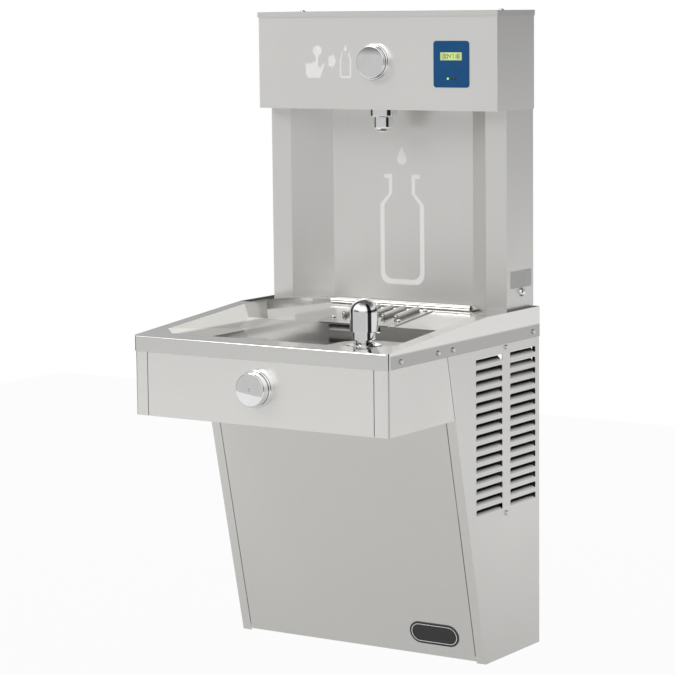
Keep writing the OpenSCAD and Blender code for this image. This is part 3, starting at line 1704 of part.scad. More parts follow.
wall_hanger();
back_panel();
base_pan();
left_side_panel();
right_side_panel();
access_panel();
access_panel_plate();
apron_wrap();
apron_front_plate();
basin();
drain_plate();
drain_plate_screws();
panel_screws();
bubbler_base();
bubbler_hood();
bubbler_nut();
waste_pipe();
tower_back_plate();
left_column();
right_column();
alcove_liner();
alcove_inlay();
head_cover();
head_lid();
lid_screws();
head_pictograms();
display_lens();
display_window();
status_lamps();
display_board();
column_plate();
column_lock();
nozzle_nut();
nozzle_spout();
filler_valve();
filler_bezel();
filler_cap();
filler_spring();
filler_switch();
bubbler_bezel();
bubbler_cap();
bubbler_spring();
bubbler_valve();
inlet_fitting();
water_lines();
filter_head();
filter_cartridge();
cooling_tank();
tank_insulation();
insulation_lid();
compressor();
compressor_grommets();
condenser();
fan_shroud();
fan_motor();
fan_blades();
fan_shaft();
refrigerant_lines();
control_box();
thermostat_knob();
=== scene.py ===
"""Looks of the wall-hung bottle filling station, built around its fixed frame, in metres."""
import math
import bpy
import numpy as np
from bpy.props import FloatProperty, FloatVectorProperty, IntProperty, StringProperty
from mathutils import Matrix, Vector


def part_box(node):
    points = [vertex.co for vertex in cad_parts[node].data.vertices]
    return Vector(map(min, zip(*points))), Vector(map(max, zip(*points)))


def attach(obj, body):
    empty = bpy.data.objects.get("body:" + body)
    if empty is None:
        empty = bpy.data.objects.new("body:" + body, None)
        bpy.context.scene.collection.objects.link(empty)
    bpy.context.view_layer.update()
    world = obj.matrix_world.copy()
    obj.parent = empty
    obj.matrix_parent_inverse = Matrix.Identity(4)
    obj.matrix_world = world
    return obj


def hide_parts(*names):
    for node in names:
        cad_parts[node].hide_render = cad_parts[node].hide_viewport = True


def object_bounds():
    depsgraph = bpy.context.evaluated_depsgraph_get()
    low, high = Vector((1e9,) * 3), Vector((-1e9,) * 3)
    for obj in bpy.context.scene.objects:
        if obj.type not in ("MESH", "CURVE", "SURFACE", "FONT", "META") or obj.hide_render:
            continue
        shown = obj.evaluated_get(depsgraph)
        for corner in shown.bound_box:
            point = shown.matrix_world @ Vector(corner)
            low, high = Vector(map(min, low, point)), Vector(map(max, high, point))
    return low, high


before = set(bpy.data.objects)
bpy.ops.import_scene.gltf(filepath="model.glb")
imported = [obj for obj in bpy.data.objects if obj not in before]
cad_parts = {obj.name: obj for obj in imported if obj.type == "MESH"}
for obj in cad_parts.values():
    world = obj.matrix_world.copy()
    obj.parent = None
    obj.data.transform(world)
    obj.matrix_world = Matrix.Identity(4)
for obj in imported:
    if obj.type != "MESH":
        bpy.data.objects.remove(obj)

bl_info = {
    "name": "Bottle filling station",
    "version": (1, 0, 0),
    "blender": (4, 5, 0),
    "location": "View3D > Sidebar > Station",
    "description": "Finishes and fine parts of a wall-hung bottle filling station",
    "category": "Object",
}

SOLID_BOX = [list(corner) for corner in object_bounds()]


# Sizes and colours that a user would change

class StationColours(bpy.types.PropertyGroup):
    """Colours of the finishes, as linear values."""
    steel: FloatVectorProperty(
        name="Satin steel", description="Sheet of the cabinet and the tower", subtype="COLOR",
        size=3, min=0, max=1, default=(0.86, 0.852, 0.830))
    chrome: FloatVectorProperty(
        name="Chrome", description="Polished trim", subtype="COLOR",
        size=3, min=0, max=1, default=(0.88, 0.88, 0.88))
    zinc: FloatVectorProperty(
        name="Zinc", description="Galvanised sheet", subtype="COLOR",
        size=3, min=0, max=1, default=(0.58, 0.60, 0.61))
    lens: FloatVectorProperty(
        name="Display blue", description="Panel round the counter", subtype="COLOR",
        size=3, min=0, max=1, default=(0.007, 0.082, 0.23))
    window: FloatVectorProperty(
        name="Counter window", description="Lit window behind the digits", subtype="COLOR",
        size=3, min=0, max=1, default=(0.62, 0.78, 0.28))
    sign: FloatVectorProperty(
        name="Signs", description="Pale signs and inlay", subtype="COLOR",
        size=3, min=0, max=1, default=(0.95, 0.945, 0.925))
    enamel: FloatVectorProperty(
        name="Black enamel", description="Compressor and fan shroud", subtype="COLOR",
        size=3, min=0, max=1, default=(0.020, 0.020, 0.022))


class StationSizes(bpy.types.PropertyGroup):
    """Sizes of the fine parts that are made here."""
    digit_height: FloatProperty(
        name="Digit height", description="Height of the counter's digits", unit="LENGTH",
        min=0.002, max=0.008, default=0.0062)
    digits: StringProperty(
        name="Digits", description="Number that the counter shows", default="004718")
    around: IntProperty(
        name="Steps around", description="Steps of a turned piece", min=24, max=256, default=128)
    button_crown: FloatProperty(
        name="Button crown", description="Depth of a button's crown at its rim", unit="LENGTH",
        min=0, max=0.002, default=0.0010)
    button_edge: FloatProperty(
        name="Button edge", description="Radius of a button's edge", unit="LENGTH",
        min=0.0005, max=0.004, default=0.002)
    pip_radius: FloatProperty(
        name="Pip radius", description="Small dent in the bubbler button", unit="LENGTH",
        min=0.001, max=0.004, default=0.0022)
    pip_depth: FloatProperty(
        name="Pip depth", description="Depth of that dent", unit="LENGTH",
        min=0.001, max=0.012, default=0.009)
    stem_radius: FloatProperty(
        name="Stem radius", description="Stem behind a button", unit="LENGTH",
        min=0.003, max=0.009, default=0.006)
    stem_length: FloatProperty(
        name="Stem length", description="From the button's back to the stem's end",
        unit="LENGTH", min=0.01, max=0.05, default=0.026)
    collar_radius: FloatProperty(
        name="Collar radius", description="Collar on the stem", unit="LENGTH",
        min=0.007, max=0.012, default=0.0095)
    collar_width: FloatProperty(
        name="Collar width", description="Collar's length along the stem", unit="LENGTH",
        min=0.001, max=0.006, default=0.003)
    collar_place: FloatProperty(
        name="Collar place", description="From the stem's end to the collar's front",
        unit="LENGTH", min=0.005, max=0.03, default=0.0167)
    louvre_reach: FloatProperty(
        name="Louvre reach", description="How far the louvres come forward from the wall",
        unit="LENGTH", min=0.1, max=0.3, default=0.198)
    floor_drop: FloatProperty(
        name="Floor below the cabinet", description="Gap from the foot to the floor",
        unit="LENGTH", min=0, max=1.5, default=0.40)


class StationView(bpy.types.PropertyGroup):
    """Where the photograph's camera stands."""
    place: FloatVectorProperty(
        name="Place", description="Camera's place", subtype="TRANSLATION", unit="LENGTH",
        size=3, default=(2.18153, -3.54187, 0.61071))
    yaw: FloatProperty(
        name="Yaw", description="Turn to the left of straight ahead", subtype="ANGLE",
        default=math.radians(33.355))
    pitch: FloatProperty(
        name="Pitch", description="Tilt up from level", subtype="ANGLE",
        default=math.radians(-7.355))
    roll: FloatProperty(
        name="Roll", description="Turn about the line of sight", subtype="ANGLE",
        default=math.radians(-0.617))
    lens: FloatProperty(
        name="Focal length", description="In millimetres on a 36 mm sensor", min=20, max=400,
        default=138.684)


# Node helpers

def add_node(tree, kind, **settings):
    """Adds a node and sets its plain properties."""
    made = tree.nodes.new(kind)
    for name, value in settings.items():
        setattr(made, name, value)
    return made


def reckon(tree, operation, first, second=None):
    """Math node whose inputs are sockets or numbers."""
    made = add_node(tree, "ShaderNodeMath", operation=operation)
    for socket, value in zip(made.inputs, (first, second)):
        if isinstance(value, bpy.types.NodeSocket):
            tree.links.new(value, socket)
        elif value is not None:
            socket.default_value = value
    return made.outputs[0]


def spread(tree, value, low, high, to_low, to_high):
    """Map Range node that carries a value from one range to another, held at the ends."""
    made = add_node(tree, "ShaderNodeMapRange", clamp=True)
    if isinstance(value, bpy.types.NodeSocket):
        tree.links.new(value, made.inputs["Value"])
    for name, number in (("From Min", low), ("From Max", high),
                         ("To Min", to_low), ("To Max", to_high)):
        if isinstance(number, bpy.types.NodeSocket):
            tree.links.new(number, made.inputs[name])
        else:
            made.inputs[name].default_value = number
    return made.outputs["Result"]


def blend_colours(tree, factor, first, second):
    """Colour mix of two colours or sockets."""
    made = add_node(tree, "ShaderNodeMix", data_type="RGBA")
    tree.links.new(factor, made.inputs[0])
    for socket, value in ((made.inputs[6], first), (made.inputs[7], second)):
        if isinstance(value, bpy.types.NodeSocket):
            tree.links.new(value, socket)
        else:
            socket.default_value = (*value, 1)
    return made.outputs[2]


def new_group(name, inputs, outputs):
    """Empty shader group with named sockets; returns the tree and its two end nodes."""
    tree = bpy.data.node_groups.new(name, "ShaderNodeTree")
    for label, kind, value in inputs:
        socket = tree.interface.new_socket(name=label, in_out="INPUT", socket_type=kind)
        socket.default_value = value
    for label, kind in outputs:
        tree.interface.new_socket(name=label, in_out="OUTPUT", socket_type=kind)
    return tree, add_node(tree, "NodeGroupInput"), add_node(tree, "NodeGroupOutput")


FLOAT, VECTOR = "NodeSocketFloat", "NodeSocketVector"


def noise(tree, vector, scale, detail, rough=0.5):
    """Noise texture read at a vector socket."""
    made = add_node(tree, "ShaderNodeTexNoise")
    made.inputs["Scale"].default_value = scale
    made.inputs["Detail"].default_value = detail
    made.inputs["Roughness"].default_value = rough
    tree.links.new(vector, made.inputs["Vector"])
    return made.outputs["Fac"]


def brushed_grain_group():
    """Fine lines along one direction: noise squeezed by a scale for each axis."""
    tree, given, out = new_group(
        "brushed_grain", [("Line scale", VECTOR, (2600, 2600, 30))],
        [("Height", FLOAT), ("Tone", FLOAT)])
    place = add_node(tree, "ShaderNodeTexCoord").outputs["Object"]
    squeeze = add_node(tree, "ShaderNodeVectorMath", operation="MULTIPLY")
    tree.links.new(place, squeeze.inputs[0])
    tree.links.new(given.outputs["Line scale"], squeeze.inputs[1])
    lines = noise(tree, squeeze.outputs[0], 1, 2, 0.6)
    wide = add_node(tree, "ShaderNodeVectorMath", operation="SCALE")
    tree.links.new(squeeze.outputs[0], wide.inputs[0])
    wide.inputs["Scale"].default_value = 0.12
    tree.links.new(lines, out.inputs["Height"])
    tree.links.new(noise(tree, wide.outputs[0], 1, 2), out.inputs["Tone"])
    return tree


def patchy_tone_group():
    """Slow cloudy change over a surface, between 0 and 1, for handling marks and uneven finish."""
    tree, given, out = new_group(
        "patchy_tone", [("Scale", FLOAT, 9.0), ("Contrast", FLOAT, 0.25)], [("Mask", FLOAT)])
    place = add_node(tree, "ShaderNodeTexCoord").outputs["Object"]
    cloud = add_node(tree, "ShaderNodeTexNoise")
    cloud.inputs["Detail"].default_value = 4
    tree.links.new(place, cloud.inputs["Vector"])
    tree.links.new(given.outputs["Scale"], cloud.inputs["Scale"])
    low = reckon(tree, "SUBTRACT", 0.5, given.outputs["Contrast"])
    high = reckon(tree, "ADD", 0.5, given.outputs["Contrast"])
    tree.links.new(spread(tree, cloud.outputs["Fac"], low, high, 0, 1), out.inputs["Mask"])
    return tree


def moulded_grain_group():
    """Small even bumps, as on moulded plastic, foam and enamel."""
    tree, given, out = new_group(
        "moulded_grain", [("Scale", FLOAT, 900.0), ("Cells", FLOAT, 0.3)], [("Height", FLOAT)])
    place = add_node(tree, "ShaderNodeTexCoord").outputs["Object"]
    cells = add_node(tree, "ShaderNodeTexVoronoi", feature="SMOOTH_F1")
    grain = add_node(tree, "ShaderNodeTexNoise")
    for made in (cells, grain):
        tree.links.new(place, made.inputs["Vector"])
        tree.links.new(given.outputs["Scale"], made.inputs["Scale"])
    mixed = add_node(tree, "ShaderNodeMix", data_type="FLOAT")
    tree.links.new(given.outputs["Cells"], mixed.inputs[0])
    tree.links.new(grain.outputs["Fac"], mixed.inputs[2])
    tree.links.new(cells.outputs["Distance"], mixed.inputs[3])
    tree.links.new(mixed.outputs[0], out.inputs["Height"])
    return tree


def settled_dust_group():
    """Mask of dust on faces that look up: the normal's height times cloudy noise."""
    tree, given, out = new_group("settled_dust", [("Amount", FLOAT, 0.3)], [("Mask", FLOAT)])
    place = add_node(tree, "ShaderNodeTexCoord").outputs["Object"]
    normal = add_node(tree, "ShaderNodeSeparateXYZ")
    tree.links.new(add_node(tree, "ShaderNodeNewGeometry").outputs["Normal"], normal.inputs[0])
    upward = spread(tree, normal.outputs["Z"], 0.3, 1, 0, 1)
    cloud = spread(tree, noise(tree, place, 60, 5), 0.4, 0.75, 0, 1)
    both = reckon(tree, "MULTIPLY", upward, cloud)
    tree.links.new(reckon(tree, "MULTIPLY", both, given.outputs["Amount"]), out.inputs["Mask"])
    return tree


GROUPS = {}


def group_node(tree, name, **values):
    """Places a shared effect in a material with its own values."""
    makers = {"brushed_grain": brushed_grain_group, "patchy_tone": patchy_tone_group,
              "moulded_grain": moulded_grain_group, "settled_dust": settled_dust_group}
    if name not in GROUPS:
        GROUPS[name] = makers[name]()
    made = add_node(tree, "ShaderNodeGroup", node_tree=GROUPS[name])
    for label, value in values.items():
        made.inputs[label.replace("_", " ")].default_value = value
    return made


def new_finish(name, metallic=0.0, roughness=0.5, colour=(0.8, 0.8, 0.8)):
    """Material with one Principled shader; returns the material, its tree and the shader."""
    material = bpy.data.materials.new(name)
    material.use_nodes = True
    tree = material.node_tree
    shader = tree.nodes["Principled BSDF"]
    shader.inputs["Metallic"].default_value = metallic
    shader.inputs["Roughness"].default_value = roughness
    shader.inputs["Base Color"].default_value = (*colour, 1)
    return material, tree, shader


def add_bump(tree, shader, height, depth, strength):
    """Bump node whose depth is in metres."""
    bump = add_node(tree, "ShaderNodeBump")
    bump.inputs["Strength"].default_value = strength
    bump.inputs["Distance"].default_value = depth
    tree.links.new(height, bump.inputs["Height"])
    tree.links.new(bump.outputs["Normal"], shader.inputs["Normal"])


def dimmed(colour, share):
    """The same colour at a share of its level."""
    return tuple(channel * share for channel in colour)


# Finishes

def satin_steel(name, line_scale, colour, rough_low=0.27, rough_high=0.34, depth=0.000004,
                metallic=0.84):
    """Satin brushed sheet: fine lines, cloudy handling marks and a slight change of gloss."""
    material, tree, shader = new_finish(name, metallic=metallic)
    grain = group_node(tree, "brushed_grain", Line_scale=line_scale)
    marks = group_node(tree, "patchy_tone", Scale=7, Contrast=0.3)
    tone = blend_colours(tree, grain.outputs["Tone"], dimmed(colour, 0.975), dimmed(colour, 1.02))
    tree.links.new(
        blend_colours(tree, marks.outputs["Mask"], dimmed(colour, 0.985), tone),
        shader.inputs["Base Color"])
    tree.links.new(spread(tree, marks.outputs["Mask"], 0, 1, rough_low, rough_high),
                   shader.inputs["Roughness"])
    add_bump(tree, shader, grain.outputs["Height"], depth, 0.35)
    return material


def basin_sheet(name, line_scale, colour):
    """Pressed bowl steel, with painted shade and painted reflection on it by place: what looks up,
    most of all the floor by the drain, and the low walls apart from the back one. Its levels are
    matched to the photograph and stand for dark reflections and shade that this studio doesn't
    give."""
    material = satin_steel(name, line_scale, colour, 0.11, 0.16, metallic=1)
    tree = material.node_tree
    shader = tree.nodes["Principled BSDF"]
    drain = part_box("drain_plate")[0]
    darkest, on_top, on_walls = 0.12, 0.34, 0.5
    parts = add_node(tree, "ShaderNodeSeparateXYZ")
    tree.links.new(add_node(tree, "ShaderNodeTexCoord").outputs["Object"], parts.inputs[0])
    normal = add_node(tree, "ShaderNodeSeparateXYZ")
    tree.links.new(add_node(tree, "ShaderNodeNewGeometry").outputs["Normal"], normal.inputs[0])
    upward = spread(tree, normal.outputs["Z"], 0.90, 0.96, 0, 1)
    low = spread(tree, parts.outputs["Z"], drain.z - 0.006, drain.z - 0.003, 1, 0)
    back = spread(tree, parts.outputs["Y"], drain.y - 0.20, drain.y - 0.09, 0.16, 0.42)
    upward_painted_shade = reckon(tree, "ADD", reckon(tree, "MULTIPLY", low, back), on_top)
    beside = spread(tree, normal.outputs["Y"], -0.25, -0.05, 0, on_walls)
    unshaded_colour = shader.inputs["Base Color"].links[0].from_socket
    # Painted shade and painted reflection: where this mask is high, the bowl's colour goes towards
    # 12 percent of the steel's level.
    bowl_painted_shade = reckon(tree, "MAXIMUM", reckon(tree, "MULTIPLY", upward_painted_shade, upward),
                  reckon(tree, "MULTIPLY", low, beside))
    tree.links.new(blend_colours(tree, bowl_painted_shade, unshaded_colour, dimmed(colour, darkest)),
                   shader.inputs["Base Color"])
    return material


def louvred_steel(name, line_scale, colour):
    """Satin sheet whose louvre blades darken away from the outer face. The dark is painted shade
    between the blades, and its level is given."""
    material = satin_steel(name, line_scale, colour)
    tree = material.node_tree
    shader = tree.nodes["Principled BSDF"]
    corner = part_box("right_side_panel")[1]
    front = corner.y - bpy.context.scene.station_sizes.louvre_reach
    lowest = corner.z - 0.278
    parts = add_node(tree, "ShaderNodeSeparateXYZ")
    tree.links.new(add_node(tree, "ShaderNodeTexCoord").outputs["Object"], parts.inputs[0])
    depth = reckon(tree, "SUBTRACT", corner.x,
                   reckon(tree, "ABSOLUTE", parts.outputs["X"]))
    near_blades = reckon(
        tree, "MULTIPLY",
        spread(tree, parts.outputs["Y"], front - 0.002, front, 0, 1),
        spread(tree, parts.outputs["Z"], lowest - 0.002, lowest, 0, 1))
    # Painted shade: near-black on the blades away from the outer face. The mask has no rear limit,
    # so it also reaches the rear flanges.
    blade_painted_shade = reckon(tree, "MULTIPLY", near_blades, spread(tree, depth, 0.0012, 0.0048, 0, 0.97))
    unshaded_colour = shader.inputs["Base Color"].links[0].from_socket
    tree.links.new(blend_colours(tree, blade_painted_shade, unshaded_colour, (0.02, 0.02, 0.019)),
                   shader.inputs["Base Color"])
    return material


def polished_chrome(name, colour, roughness=0.02):
    """Chrome plate: a mirror with faint wipe marks and slow waviness."""
    material, tree, shader = new_finish(name, metallic=1, colour=colour)
    marks = group_node(tree, "patchy_tone", Scale=60, Contrast=0.2)
    tree.links.new(spread(tree, marks.outputs["Mask"], 0, 1, roughness, roughness + 0.03),
                   shader.inputs["Roughness"])
    tree.links.new(blend_colours(tree, marks.outputs["Mask"], colour, dimmed(colour, 0.96)),
                   shader.inputs["Base Color"])
    wave = group_node(tree, "moulded_grain", Scale=90, Cells=0)
    add_bump(tree, shader, wave.outputs["Height"], 0.000001, 0.02)
    return material


def galvanised(name, colour, roughness=0.42):
    """Zinc coat whose crystals differ a little in tone."""
    material, tree, shader = new_finish(name, metallic=0.85, roughness=roughness)
    place = add_node(tree, "ShaderNodeTexCoord").outputs["Object"]
    crystals = add_node(tree, "ShaderNodeTexVoronoi", feature="F1")
    crystals.inputs["Scale"].default_value = 130
    tree.links.new(place, crystals.inputs["Vector"])
    flake = add_node(tree, "ShaderNodeSeparateColor")
    tree.links.new(crystals.outputs["Color"], flake.inputs[0])
    dust = group_node(tree, "settled_dust", Amount=0.25)
    zinc = blend_colours(tree, flake.outputs[0], dimmed(colour, 0.86), dimmed(colour, 1.08))
    tree.links.new(blend_colours(tree, dust.outputs["Mask"], zinc, (0.36, 0.34, 0.31)),
                   shader.inputs["Base Color"])
    tree.links.new(spread(tree, flake.outputs[1], 0, 1, roughness - 0.06, roughness + 0.08),
                   shader.inputs["Roughness"])
    add_bump(tree, shader, crystals.outputs["Distance"], 0.00002, 0.2)
    return material


def drawn_metal(name, colour, roughness, tarnish):
    """Bare copper, brass or wire with darker patches."""
    material, tree, shader = new_finish(name, metallic=1)
    marks = group_node(tree, "patchy_tone", Scale=45, Contrast=0.22)
    fine = group_node(tree, "moulded_grain", Scale=700, Cells=0.2)
    tree.links.new(blend_colours(tree, marks.outputs["Mask"], colour, tarnish),
                   shader.inputs["Base Color"])
    tree.links.new(spread(tree, marks.outputs["Mask"], 0, 1, roughness, roughness + 0.15),
                   shader.inputs["Roughness"])
    add_bump(tree, shader, fine.outputs["Height"], 0.00001, 0.3)
    return material


def coated(name, colour, roughness, grain_scale, depth, coat=0.0, cells=0.3, dust=0.15):
    """Enamel, moulded plastic, rubber or foam: even grain, cloudy tone and a little dust."""
    material, tree, shader = new_finish(name, roughness=roughness)
    shader.inputs["Coat Weight"].default_value = coat
    shader.inputs["Coat Roughness"].default_value = 0.12
    tone = group_node(tree, "patchy_tone", Scale=30, Contrast=0.35)
    settled = group_node(tree, "settled_dust", Amount=dust)
    fine = group_node(tree, "moulded_grain", Scale=grain_scale, Cells=cells)
    plain = blend_colours(tree, tone.outputs["Mask"], dimmed(colour, 0.92), dimmed(colour, 1.06))
    tree.links.new(blend_colours(tree, settled.outputs["Mask"], plain, (0.30, 0.29, 0.27)),
                   shader.inputs["Base Color"])
    tree.links.new(
        spread(tree, tone.outputs["Mask"], 0, 1, max(roughness - 0.05, 0.05), roughness + 0.05),
        shader.inputs["Roughness"])
    add_bump(tree, shader, fine.outputs["Height"], depth, 0.5)
    return material


def ribbed_fins(name, colour):
    """Thin aluminium fins with a fine ripple along their depth and bent patches."""
    material, tree, shader = new_finish(name, metallic=0.9)
    lines = group_node(tree, "brushed_grain", Line_scale=(1500, 60, 1500))
    marks = group_node(tree, "patchy_tone", Scale=80, Contrast=0.2)
    tree.links.new(blend_colours(tree, marks.outputs["Mask"], colour, dimmed(colour, 0.75)),
                   shader.inputs["Base Color"])
    tree.links.new(spread(tree, marks.outputs["Mask"], 0, 1, 0.35, 0.5),
                   shader.inputs["Roughness"])
    add_bump(tree, shader, lines.outputs["Height"], 0.00002, 0.4)
    return material


def printed_sign(name, colour):
    """Flat pale print with a trace of the brushed steel under it."""
    material, tree, shader = new_finish(name, roughness=0.5)
    lines = group_node(tree, "brushed_grain", Line_scale=(2600, 2600, 30))
    tree.links.new(
        blend_colours(tree, lines.outputs["Tone"], dimmed(colour, 0.96), dimmed(colour, 1.03)),
        shader.inputs["Base Color"])
    add_bump(tree, shader, lines.outputs["Height"], 0.000003, 0.3)
    return material


def blue_panel(name, colour):
    """Glossy printed panel of deep blue with a slow change of depth."""
    material, tree, shader = new_finish(name, roughness=0.3)
    shader.inputs["Specular IOR Level"].default_value = 0.25
    marks = group_node(tree, "patchy_tone", Scale=40, Contrast=0.3)
    tree.links.new(
        blend_colours(tree, marks.outputs["Mask"], colour, dimmed(colour, 1.12)),
        shader.inputs["Base Color"])
    fine = group_node(tree, "moulded_grain", Scale=1500, Cells=0.1)
    add_bump(tree, shader, fine.outputs["Height"], 0.000003, 0.3)
    return material


def lit_window(name, colour):
    """Lit counter window: its light falls off to the ends and shows a fine dot screen."""
    material, tree, shader = new_finish(name, roughness=0.18)
    low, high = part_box("display_window")
    place = add_node(tree, "ShaderNodeTexCoord").outputs["Object"]
    parts = add_node(tree, "ShaderNodeSeparateXYZ")
    tree.links.new(place, parts.inputs[0])
    middle = (low.x + high.x) / 2
    off = reckon(tree, "ABSOLUTE", reckon(tree, "SUBTRACT", parts.outputs["X"], middle))
    fall = spread(tree, off, 0, high.x - middle, 1, 0.72)
    screen = add_node(tree, "ShaderNodeTexVoronoi", feature="F1", distance="CHEBYCHEV")
    screen.inputs["Scale"].default_value = 1900
    screen.inputs["Randomness"].default_value = 0
    tree.links.new(place, screen.inputs["Vector"])
    dots = spread(tree, screen.outputs["Distance"], 0.3, 0.5, 1, 0.9)
    level = reckon(tree, "MULTIPLY", fall, dots)
    tone = blend_colours(tree, level, dimmed(colour, 0.35), colour)
    tree.links.new(tone, shader.inputs["Base Color"])
    tree.links.new(tone, shader.inputs["Emission Color"])
    shader.inputs["Emission Strength"].default_value = 0.28
    return material


def lamp_lenses(name):
    """Three small lamps: the left one lit green, the other two dark red, told apart by place."""
    material, tree, shader = new_finish(name, roughness=0.15)
    low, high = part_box("status_lamps")
    parts = add_node(tree, "ShaderNodeSeparateXYZ")
    tree.links.new(add_node(tree, "ShaderNodeTexCoord").outputs["Object"], parts.inputs[0])
    first = low.x + (high.x - low.x) * 0.3
    is_right = spread(tree, parts.outputs["X"], first, first + 0.0005, 0, 1)
    grain = group_node(tree, "moulded_grain", Scale=2500, Cells=0.5)
    red = blend_colours(tree, grain.outputs["Height"], (0.05, 0.012, 0.004), (0.12, 0.03, 0.01))
    tree.links.new(blend_colours(tree, is_right, (0.30, 0.85, 0.22), red),
                   shader.inputs["Base Color"])
    tree.links.new(blend_colours(tree, is_right, (0.35, 0.95, 0.25), (0, 0, 0)),
                   shader.inputs["Emission Color"])
    shader.inputs["Emission Strength"].default_value = 0.6
    add_bump(tree, shader, grain.outputs["Height"], 0.00001, 0.3)
    return material


def etched_board(name):
    """Green solder mask over fine tracks."""
    material, tree, shader = new_finish(name, roughness=0.35)
    place = add_node(tree, "ShaderNodeTexCoord").outputs["Object"]
    tracks = add_node(tree, "ShaderNodeTexVoronoi", feature="DISTANCE_TO_EDGE")
    tracks.inputs["Scale"].default_value = 240
    tree.links.new(place, tracks.inputs["Vector"])
    line = spread(tree, tracks.outputs["Distance"], 0.03, 0.07, 1, 0)
    tree.links.new(blend_colours(tree, line, (0.012, 0.12, 0.045), (0.04, 0.26, 0.10)),
                   shader.inputs["Base Color"])
    add_bump(tree, shader, line, 0.00003, 0.4)
    return material


def clear_hose_finish(name):
    """Milky hose that lets some light through, with faint rings from drawing."""
    material, tree, shader = new_finish(name, roughness=0.3)
    shader.inputs["Transmission Weight"].default_value = 0.35
    shader.inputs["IOR"].default_value = 1.4
    tone = group_node(tree, "patchy_tone", Scale=50, Contrast=0.3)
    tree.links.new(
        blend_colours(tree, tone.outputs["Mask"], (0.66, 0.74, 0.80), (0.78, 0.84, 0.88)),
        shader.inputs["Base Color"])
    fine = group_node(tree, "moulded_grain", Scale=600, Cells=0.1)
    add_bump(tree, shader, fine.outputs["Height"], 0.00001, 0.3)
    return material


def make_finishes(colours):
    """Every finish by the name of the record's slot."""
    steel = tuple(colours.steel)
    chrome = tuple(colours.chrome)
    zinc = tuple(colours.zinc)
    return {
        "satin_stainless": satin_steel("satin_stainless", (2600, 2600, 30), dimmed(steel, 0.98)),
        "satin_across": satin_steel("satin_across", (30, 2600, 2600), dimmed(steel, 1.06)),
        "louvred_steel": louvred_steel("louvred_steel", (2600, 2600, 30), steel),
        "basin_steel": basin_sheet("basin_steel", (30, 2600, 2600), steel),
        # The drain plate's steel is dimmed to 55 percent of the satin steel's level: painted shade
        # for its dark reflections.
        "polished_steel": satin_steel("polished_steel", (1400, 40, 1400), dimmed(steel, 0.55),
                                      0.10, 0.16, metallic=1),
        "galvanised_sheet": galvanised("galvanised_sheet", zinc),
        "motor_steel": galvanised("motor_steel", dimmed(zinc, 0.85), 0.36),
        "chrome_trim": polished_chrome("chrome_trim", chrome),
        "screw_steel": polished_chrome("screw_steel", dimmed(chrome, 0.8), 0.14),
        "spring_steel": drawn_metal("spring_steel", (0.55, 0.56, 0.58), 0.2, (0.38, 0.38, 0.40)),
        "tank_steel": satin_steel("tank_steel", (60, 60, 2600), dimmed(steel, 0.9), 0.3, 0.4),
        "condenser_fins": ribbed_fins("condenser_fins", (0.66, 0.67, 0.68)),
        "copper_tube": drawn_metal("copper_tube", (0.72, 0.35, 0.20), 0.22, (0.36, 0.16, 0.09)),
        "brass_fitting": drawn_metal("brass_fitting", (0.76, 0.56, 0.24), 0.2,
                                     (0.50, 0.34, 0.14)),
        "black_enamel": coated("black_enamel", tuple(colours.enamel), 0.28, 260, 0.00004, 0.4),
        "black_plate": coated("black_plate", (0.028, 0.028, 0.031), 0.35, 900, 0.00001, 0.2,
                              dust=0.0),
        "black_plastic": coated("black_plastic", (0.03, 0.03, 0.032), 0.42, 1200, 0.00003),
        "white_plastic": coated("white_plastic", (0.74, 0.74, 0.71), 0.4, 1100, 0.00002),
        "cartridge_plastic": coated("cartridge_plastic", (0.80, 0.82, 0.84), 0.22, 500,
                                    0.00001, 0.5),
        "clear_hose": clear_hose_finish("clear_hose"),
        "grey_foam": coated("grey_foam", (0.60, 0.60, 0.56), 0.9, 420, 0.0003, cells=0.8),
        "dark_rubber": coated("dark_rubber", (0.028, 0.028, 0.028), 0.7, 800, 0.00006),
        "white_print": printed_sign("white_print", tuple(colours.sign)),
        "blue_lens": blue_panel("blue_lens", tuple(colours.lens)),
        "counter_window": lit_window("counter_window", tuple(colours.window)),
        "lamp_plastic": lamp_lenses("lamp_plastic"),
        "circuit_board": etched_board("circuit_board"),
        "bare_plate": coated("bare_plate", (0.80, 0.80, 0.78), 0.4, 1500, 0.000004, dust=0.0),
    }


